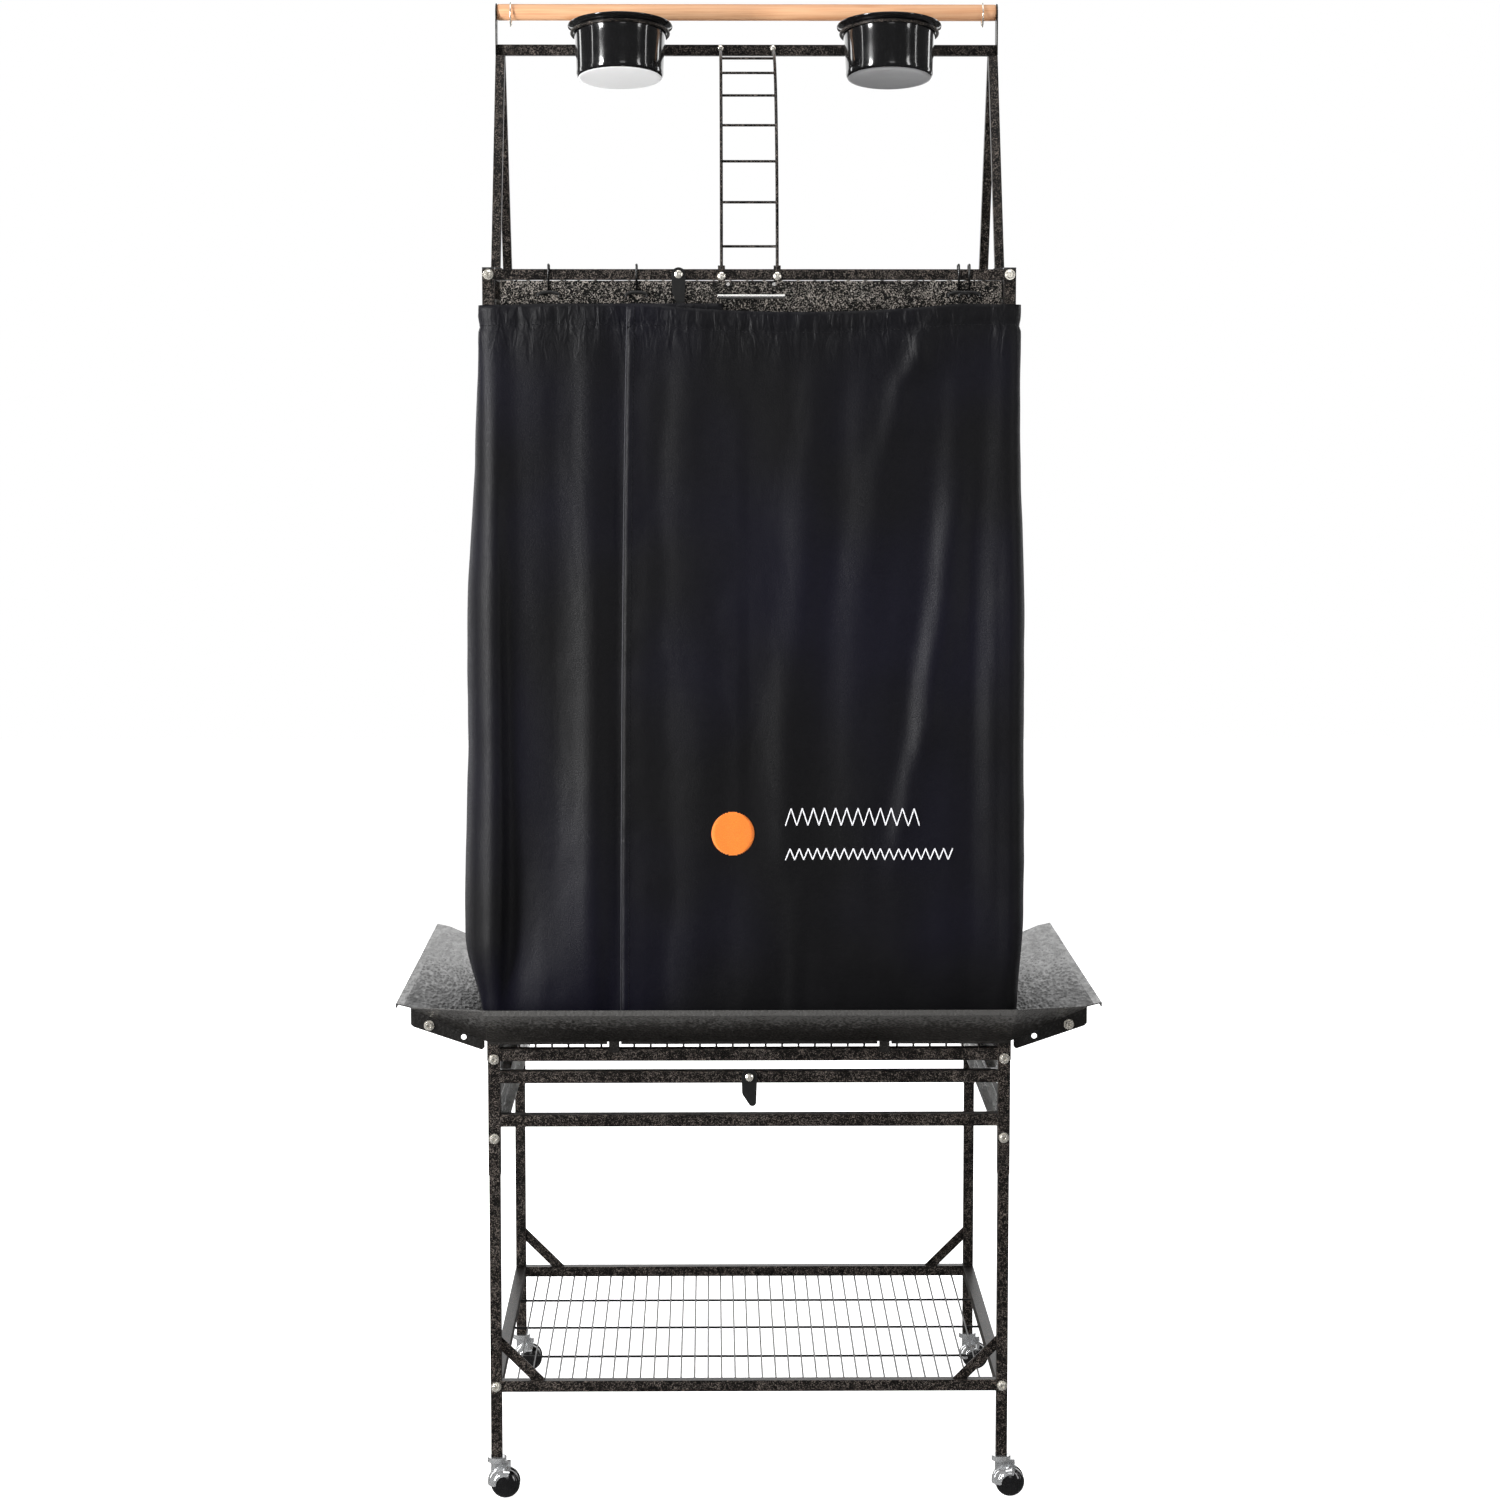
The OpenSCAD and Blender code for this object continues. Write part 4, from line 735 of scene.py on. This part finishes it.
def cover_point(s, fall):
    """The designed shape: a place s along the wrap and fall down from the upper edge (0) to the lower (1)."""
    p, n = wrap.at(s)
    out = 0.0
    on_flap = s < wrap.right
    on_left_front = s > wrap.front_left
    lift = LAP_LIFT * (1 - smooth(s, wrap.right - LIFT_OUT, wrap.right + LIFT_IN))
    bell = smooth(fall, 0.0, 0.45) * (1 - smooth(fall, 0.84, 1.02))
    if on_flap:
        out += folds_at(FRONT_RIGHT_FOLDS, p.x, fall) + FRONT_BELLY * bell
    elif on_left_front:
        tuck = smooth(p.x, LAP_X + TUCK_FROM, LAP_X + TUCK_TO)
        out += folds_at(FRONT_LEFT_FOLDS, p.x, fall) * (1 - tuck) + FRONT_BELLY * bell
    else:
        # Sides and back hang in soft upright folds that wander a little
        drift = noise.noise(Vector((s * 2.2, fall * 1.6, 7.7))) * 0.035
        wave = noise.noise(Vector(((s + drift) * 16.0, fall * 0.9, 3.1)))
        ripple = noise.noise(Vector(((s + drift) * 38.0, fall * 1.7, 9.4)))
        depth = smooth(fall, 0.01, 0.16)
        out += (wave * 7.0 + ripple * 2.2) * MM * depth
        after_right = smooth(s, wrap.right, wrap.right + CORNER_REACH)
        before_left = 1 - smooth(s, wrap.front_left - CORNER_REACH, wrap.front_left)
        out *= min(after_right, before_left)
        if s >= wrap.left:
            belly = LEFT_BELLY * smooth(fall, 0.0, 0.5) + LEFT_BELLY_LOW * smooth(fall, 0.6, 0.85)
            out += belly * (1 - smooth(fall, 0.87, 1.01)) * smooth(s, wrap.left, wrap.left + SIDE_REACH)
        elif s < wrap.back:
            out += RIGHT_BELLY * bell * (1 - smooth(s, wrap.back - SIDE_REACH, wrap.back))
        else:
            out += BACK_BELLY * bell
    # The corner posts keep the cloth out at the left front edge while the wall behind it bellies
    if on_left_front:
        out += CORNER_BELLY * bell * (1 - smooth(p.x, -WRAP_X, -WRAP_X + CORNER_REACH))
    sag = 0.0
    for a, b in zip(SAG_HOOKS, SAG_HOOKS[1:]):
        if on_flap and a < p.x < b and b - a > WIDE_GAP:
            t = (p.x - a) / (b - a)
            sag = HOOK_SAG * 4 * t * (1 - t)
    z = COVER_HIGH - COVER_H * fall - sag * (1 - smooth(fall, 0.0, 0.5))
    z += EDGE_RISE * (1 - smooth(fall, 0.0, 0.3))
    slant = (SLANT_TOP - SLANT_FALL * fall) * (1 - smooth(s, 0.0, SLANT_REACH))
    return p + n * (out + lift) + Vector((slant, 0, z))


def grid_mesh(points):
    """Vertices and quads of a grid of points."""
    high, wide = points.shape[:2]
    faces = []
    for i in range(high - 1):
        for j in range(wide - 1):
            a = i * wide + j
            faces.append((a, a + 1, a + wide + 1, a + wide))
    return points.reshape(-1, 3), faces


def upsample(points, factor):
    """Catmull-Rom between the grid's points, along rows and then columns."""
    for _ in range(2):
        n = len(points)
        t = np.linspace(0, n - 1, (n - 1) * factor + 1)
        i = np.minimum(t.astype(int), n - 2)
        f = (t - i)[:, None, None]
        p0, p1 = points[np.maximum(i - 1, 0)], points[i]
        p2, p3 = points[i + 1], points[np.minimum(i + 2, n - 1)]
        points = 0.5 * (2 * p1 + (p2 - p0) * f + (2 * p0 - 5 * p1 + 4 * p2 - p3) * f * f
                        + (3 * p1 - p0 - 3 * p2 + p3) * f * f * f)
        points = points.transpose(1, 0, 2)
    return points


def outward(points):
    """Unit normals of the cover's grid, pointing away from the cage."""
    n = np.cross(np.gradient(points, axis=0), np.gradient(points, axis=1))
    n = n / np.maximum(np.linalg.norm(n, axis=2, keepdims=True), 1e-12)
    on_flap = n[len(points) // 2, 10]
    return -n if on_flap[1] > 0 else n


def spread(across, down):
    """Evenly spread places along the wrap and down the cover, for a grid of across x down points."""
    return np.linspace(0, wrap.length, across), np.linspace(0, 1, down)


coarse_s, coarse_fall = spread(int(round(wrap.length / COARSE)) + 1, int(round(COVER_H / COARSE)) + 1)
coarse = np.array([[cover_point(s, fall) for s in coarse_s] for fall in coarse_fall])

SIM_FRAMES = 22
SIM_CAP = 7 * MM  # the furthest that the simulation may move the designed shape
HELD_WITHIN, LOOSE_PIN = 16 * MM, 0.35  # of a hook, where the cloth is held; elsewhere it is held loosely
BLOCK_GAP = 1.5 * MM  # how far the solid that stands in for the cage reaches past its posts
BLOCK_HEIGHTS = (0.52, 0.8, 1.1, TOP_Z)
GUARD_LOW, GUARD_HIGH, GUARD_SPREAD = 540 * MM, 585 * MM, 1.3  # the flared skin that stands in for the guard


def soften(field, passes):
    """Averages a grid's values with their neighbours' along rows and columns."""
    for _ in range(passes):
        for axis in (0, 1):
            last = field.shape[axis] - 1
            before = field.take([0, *range(last)], axis)
            after = field.take([*range(1, last + 1), last], axis)
            field = 0.25 * before + 0.5 * field + 0.25 * after
    return field


def hang(points):
    """A short cloth simulation: the cover hangs from its hooks against the cage and the seed guard."""
    verts, faces = grid_mesh(points)
    o = piece("cover_hanging", verts, faces, [CLOTH])
    pins = o.vertex_groups.new(name="pins")
    hook_points = [(x, -WRAP_Y) for x in HOOKS_FRONT] + [(x, WRAP_Y) for x in HOOKS_REAR]
    hook_points += [(sx * WRAP_X, y) for sx in (-1, 1) for y in HOOKS_SIDE]
    for j in range(points.shape[1]):
        x, y = points[0, j, :2]
        near = min(math.hypot(x - hx, y - hy) for hx, hy in hook_points)
        ends = j < 2 or j > points.shape[1] - 3
        pins.add([j], 1.0 if near < HELD_WITHIN or ends else LOOSE_PIN, "REPLACE")
    hx, hy = HALF_W + BLOCK_GAP, HALF_D + BLOCK_GAP
    ring = [(-hx, -hy), (hx, -hy), (hx, hy), (-hx, hy)]
    cage, guard = Builder(), Builder()
    cage.rings([[(x, y, z) for x, y in ring] for z in BLOCK_HEIGHTS])
    guard.rings([[(x, y, GUARD_LOW) for x, y in ring],
                 [(x * GUARD_SPREAD, y * GUARD_SPREAD, GUARD_HIGH) for x, y in ring]], caps=False)
    solids = [cage.object("cage_block", CAP), guard.object("guard_block", CAP)]
    for block in solids:
        block.modifiers.new("collision", "COLLISION")
        block.collision.thickness_outer = 1.0 * MM
        block.collision.cloth_friction = 12
    cloth = o.modifiers.new("cloth", "CLOTH")
    s = cloth.settings
    s.quality = 7
    s.mass = 0.25
    s.tension_stiffness = s.compression_stiffness = 40
    s.shear_stiffness = 25
    s.bending_stiffness = 0.8
    s.tension_damping = s.compression_damping = s.shear_damping = 12
    s.bending_damping = 3
    s.air_damping = 4
    s.vertex_group_mass = "pins"
    s.pin_stiffness = 1.0
    cloth.collision_settings.distance_min = 1.0 * MM
    cloth.collision_settings.use_self_collision = False
    cloth.collision_settings.collision_quality = 3
    scene = bpy.context.scene
    cloth.point_cache.frame_start, cloth.point_cache.frame_end = 1, SIM_FRAMES
    for frame_number in range(1, SIM_FRAMES + 1):
        scene.frame_set(frame_number)
    graph = bpy.context.evaluated_depsgraph_get()
    done = o.evaluated_get(graph).to_mesh()
    after = np.zeros(len(done.vertices) * 3)
    done.vertices.foreach_get("co", after)
    after = after.reshape(points.shape)
    o.evaluated_get(graph).to_mesh_clear()
    scene.frame_set(1)
    for block in (o, *solids):
        mesh = block.data
        bpy.data.objects.remove(block)
        bpy.data.meshes.remove(mesh)
    moved = soften(after - points, 6)
    length = np.linalg.norm(moved, axis=2, keepdims=True)
    keep = np.minimum(1.0, SIM_CAP / np.maximum(length, 1e-9))
    return points + moved * keep


coarse = hang(coarse)

fine = upsample(coarse, REFINE)
rows, cols = fine.shape[:2]
fine_s, fine_fall = spread(cols, rows)

# Stitching below the upper edge, above the lower edge and in from the flap's sewn edge
CASING, HEM, EDGE_SEAM = 23 * MM, 12 * MM, 9 * MM
EDGE_BAND = 16 * MM  # of the flap's sewn edge that puckers


def groove(place, middle, half_width, depth):
    """A rounded groove along a stitched line."""
    return -depth * math.exp(-((place - middle) / half_width) ** 2)


def cloth_relief(s, down):
    """Gathers in the hem casing, its stitched groove with pleats below it, rumples, the lower hem and the
    flap's puckered sewn edge, as a height over the hanging shape."""
    near_top = math.exp(-(down / (30 * MM)) ** 2)
    gather = noise.noise(Vector((s * 62 + down * 55, down * 38, 1.7))) * 1.5 * MM * near_top
    gather += noise.noise(Vector((s * 130 + down * 90, down * 60, 5.1))) * 0.6 * MM * near_top
    casing = groove(down, CASING, 4.6 * MM, 2.2 * MM)
    below = smooth(down, CASING, CASING + 8 * MM) * (1 - smooth(down, CASING + 14 * MM, CASING + 70 * MM))
    pleat = noise.noise(Vector((s * 62, down * 9, 2.9))) * 1.6 * MM * below
    rumple = noise.noise(Vector((s * 20, down * 7, 8.8))) * 1.3 * MM
    rumple += noise.noise(Vector((s * 9, down * 22, 4.2))) * 0.7 * MM
    lower = groove(COVER_H - down, HEM, 3.5 * MM, 0.7 * MM)
    pucker = 0.0
    if s < EDGE_BAND:
        pucker = noise.noise(Vector((s * 60, down * 130, 6.6))) * 0.9 * MM
        pucker *= 1 - smooth(s, EDGE_BAND / 2, EDGE_BAND)
        pucker += groove(s, EDGE_SEAM, 2.6 * MM, 0.25 * MM)
    return gather + casing + pleat + rumple + lower + pucker


relief = np.array([[cloth_relief(s, fall * COVER_H) for s in fine_s] for fall in fine_fall])
fine = fine + outward(fine) * relief[:, :, None]

# The outer flap stays in front of the inner one
LAP_GAP = 2.6 * MM
inner_from, outer_to = wrap.front_left + 100 * MM, LAP_END - LAP_X + 20 * MM
inner = [j for j in range(cols) if fine_s[j] > inner_from]
outer = [j for j in range(cols) if fine_s[j] <= outer_to]
for i in range(rows):
    inner_x, inner_y = fine[i, inner, 0], fine[i, inner, 1]
    order = np.argsort(inner_x)
    for j in outer:
        behind = np.interp(fine[i, j, 0], inner_x[order], inner_y[order])
        fine[i, j, 1] = min(fine[i, j, 1], behind - LAP_GAP)
skin = outward(fine)

CLOTH_THICK = 0.9 * MM
verts, faces = grid_mesh(fine)
cover = piece("cover_cloth", verts, faces, [CLOTH])
thick = cover.modifiers.new("thickness", "SOLIDIFY")
thick.thickness = CLOTH_THICK
thick.offset = 0.0
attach(cover, "cage_frame")
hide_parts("cover")


def on_cloth(s, down, off):
    """A point on the finished cover, s along it and down from its upper edge, standing off metres proud."""
    u = min(max(s / wrap.length, 0.0), 1.0) * (cols - 1)
    v = min(max(down / COVER_H, 0.0), 1.0) * (rows - 1)
    j, i = min(int(u), cols - 2), min(int(v), rows - 2)
    a, b = u - j, v - i

    def blend(field):
        return ((field[i, j] * (1 - a) + field[i, j + 1] * a) * (1 - b)
                + (field[i + 1, j] * (1 - a) + field[i + 1, j + 1] * a) * b)

    return Vector(blend(fine)) + Vector(blend(skin)) * off


STITCH, STITCH_GAP, STITCH_R = 3.4 * MM, 1.5 * MM, 0.32 * MM
STITCH_HEIGHTS = (0.35, 0.75, 0.85, 0.75, 0.35)  # over the cloth along one stitch, in mm


def stitches(builder, length, place):
    """A lockstitch row: short raised capsules at place(t, height), t metres along the row."""
    t = STITCH_GAP
    while t + STITCH < length:
        pts = [place(t + STITCH * k / 4, height * MM) for k, height in enumerate(STITCH_HEIGHTS)]
        builder.tube(pts, [STITCH_R * 0.5] + [STITCH_R] * 3 + [STITCH_R * 0.5], 6)
        t += STITCH + STITCH_GAP


seams = Builder()
stitches(seams, wrap.length, lambda t, off: on_cloth(t, CASING, off))
stitches(seams, wrap.length, lambda t, off: on_cloth(t, COVER_H - HEM, off))
stitches(seams, COVER_H, lambda t, off: on_cloth(EDGE_SEAM, t, off))
stitching = seams.object("cover_stitching", BLACK_THREAD)

# A rolled bead along the flap's free edge; its lighter grey is a painted highlight
edge = Builder()
EDGE_SPANS, EDGE_R = 160, 0.75 * MM
edge.tube([on_cloth(0.0, COVER_H * i / EDGE_SPANS, 0.1 * MM) for i in range(EDGE_SPANS + 1)], EDGE_R, 10)
binding = edge.object("cover_binding", BINDING_PAINTED_HIGHLIGHT)

# A plain stitched disc and two plain zigzag rows, in place of the maker's embroidery
emblem, rows_white = Builder(), Builder()
DISC_S, DISC_DOWN, DISC_R = 122 * MM, 598 * MM, 25 * MM
DISC_ROWS, DISC_SPANS, DISC_THREAD = 42, 10, 0.68 * MM
for k in range(DISC_ROWS):
    y = -DISC_R + 2 * DISC_R * (k + 0.5) / DISC_ROWS
    half = math.sqrt(DISC_R ** 2 - y ** 2) - 0.4 * MM
    pts = []
    for i in range(DISC_SPANS + 1):
        puff = (0.75 + 0.35 * math.sin(math.pi * i / DISC_SPANS)) * MM
        pts.append(on_cloth(DISC_S + half * (-1 + i / (DISC_SPANS / 2)), DISC_DOWN + y, puff))
    emblem.tube(pts, DISC_THREAD, 6)

# Each zigzag's start and end along the cover, place down it, half height and step, in mm
ZIGZAGS = ((182, 330, 579, 10.0, 6.4), (182, 372, 622, 6.5, 5.2))
ZIGZAG_THREAD = 0.75 * MM
for start, end, down, height, step in ZIGZAGS:
    s, side = start * MM, 1
    while s < end * MM:
        after = s + step * MM
        a = on_cloth(s, down * MM + side * height * MM, 0.8 * MM)
        b = on_cloth(after, down * MM - side * height * MM, 0.8 * MM)
        mid = on_cloth((s + after) / 2, down * MM, 1.3 * MM)
        rows_white.tube([a, a.lerp(mid, 0.5), mid, mid.lerp(b, 0.5), b], ZIGZAG_THREAD, 6)
        s, side = after, -side
disc = emblem.object("emblem_disc", ORANGE_THREAD)
zigzag = rows_white.object("emblem_rows", WHITE_THREAD)

trim = [stitching, binding, disc, zigzag]
for o in trim:
    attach(o, "cage_frame")
for o in (cover, *trim):
    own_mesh(o)


# ---------- stage, light, camera ----------

FLOOR_HALF, FLOOR_DEPTH = 9, 0.02


def stage():
    """A pale floor that also gives off light, so that it meets the white backdrop without a line."""
    corners = [(sx * FLOOR_HALF, sy * FLOOR_HALF) for sx, sy in ((-1, -1), (1, -1), (1, 1), (-1, 1))]
    b = Builder()
    b.rings([[(x, y, z) for x, y in corners] for z in (-FLOOR_DEPTH, 0)])
    f = Finish("floor_pale", Specular_IOR_Level=0.1, Emission_Color=(1.0, 1.0, 1.0), Emission_Strength=0.96)
    f.set("Base Color", f.mix(f.noise(3.0, detail=3.0), (0.86, 0.86, 0.86), (0.90, 0.90, 0.90)))
    f.set("Roughness", f.between(f.noise(30.0), 0.3, 0.7, 0.7, 0.8))
    floor = b.object("floor", f.material)
    floor.data.shade_flat()
    floor.visible_glossy = False


def area_light(name, place, target, size, power):
    """A rectangular lamp of size metres that looks at target, with power in watts."""
    data = bpy.data.lights.new(name, "AREA")
    data.shape = "RECTANGLE"
    data.size, data.size_y = size
    data.energy = power
    o = bpy.data.objects.new(name, data)
    o.location = place
    o.rotation_euler = (Vector(target) - Vector(place)).to_track_quat("-Z", "Y").to_euler()
    bpy.context.scene.collection.objects.link(o)


stage()
area_light("key_left", (-2.5, -2.2, 1.5), (-0.1, -0.2, 1.0), (0.5, 2.2), 170)
area_light("key_right", (2.7, -2.4, 1.6), (0.1, -0.2, 1.0), (0.4, 2.2), 20)
area_light("strip_left", (-3.2, -0.9, 1.5), (0, 0, 1.2), (0.10, 2.4), 6)
area_light("strip_right", (3.0, -1.1, 1.5), (0, 0, 1.2), (0.10, 2.4), 6)
area_light("rim_left", (-3.2, 1.7, 1.4), (0, 0, 1.0), (0.35, 2.6), 14)
area_light("rim_right", (3.2, 1.7, 1.4), (0, 0, 1.0), (0.35, 2.6), 14)
area_light("front", (0.5, -4.6, 2.2), (0, 0, 0.9), (1.0, 1.6), 7)
area_light("top", (0, -0.4, 3.4), (0, 0, 1.0), (2.0, 1.6), 30)
area_light("backdrop", (0, 3.6, 1.8), (0, 0, 1.0), (7.0, 3.4), 110)

# The backdrop is plain white, and lights the part only weakly
world = bpy.data.worlds.new("studio")
world.use_nodes = True
sky = world.node_tree
path = sky.nodes.new("ShaderNodeLightPath")
strength = sky.nodes.new("ShaderNodeMapRange")
WORLD_LIGHT, WORLD_SEEN = 0.10, 1.0
strength.inputs["To Min"].default_value = WORLD_LIGHT
strength.inputs["To Max"].default_value = WORLD_SEEN
sky.links.new(path.outputs["Is Camera Ray"], strength.inputs["Value"])
sky.links.new(strength.outputs["Result"], sky.nodes["Background"].inputs["Strength"])
sky.nodes["Background"].inputs["Color"].default_value = (1.0, 1.0, 1.0, 1.0)
bpy.context.scene.world = world
bpy.context.scene.view_settings.view_transform = "Standard"

# The camera matches the photo's: in front, a little left of the middle, looking slightly down and right
LOOK_DOWN, LOOK_RIGHT = 5.65, 0.65
camera_data = bpy.data.cameras.new("camera")
camera_data.lens = 84.96
camera_data.sensor_width = 36
camera_data.clip_end = 60
camera = bpy.data.objects.new("camera", camera_data)
camera.location = (-0.045, -4.315, 1.277)
camera.rotation_euler = (math.radians(90 - LOOK_DOWN), 0, math.radians(-LOOK_RIGHT))
bpy.context.scene.collection.objects.link(camera)
bpy.context.scene.camera = camera
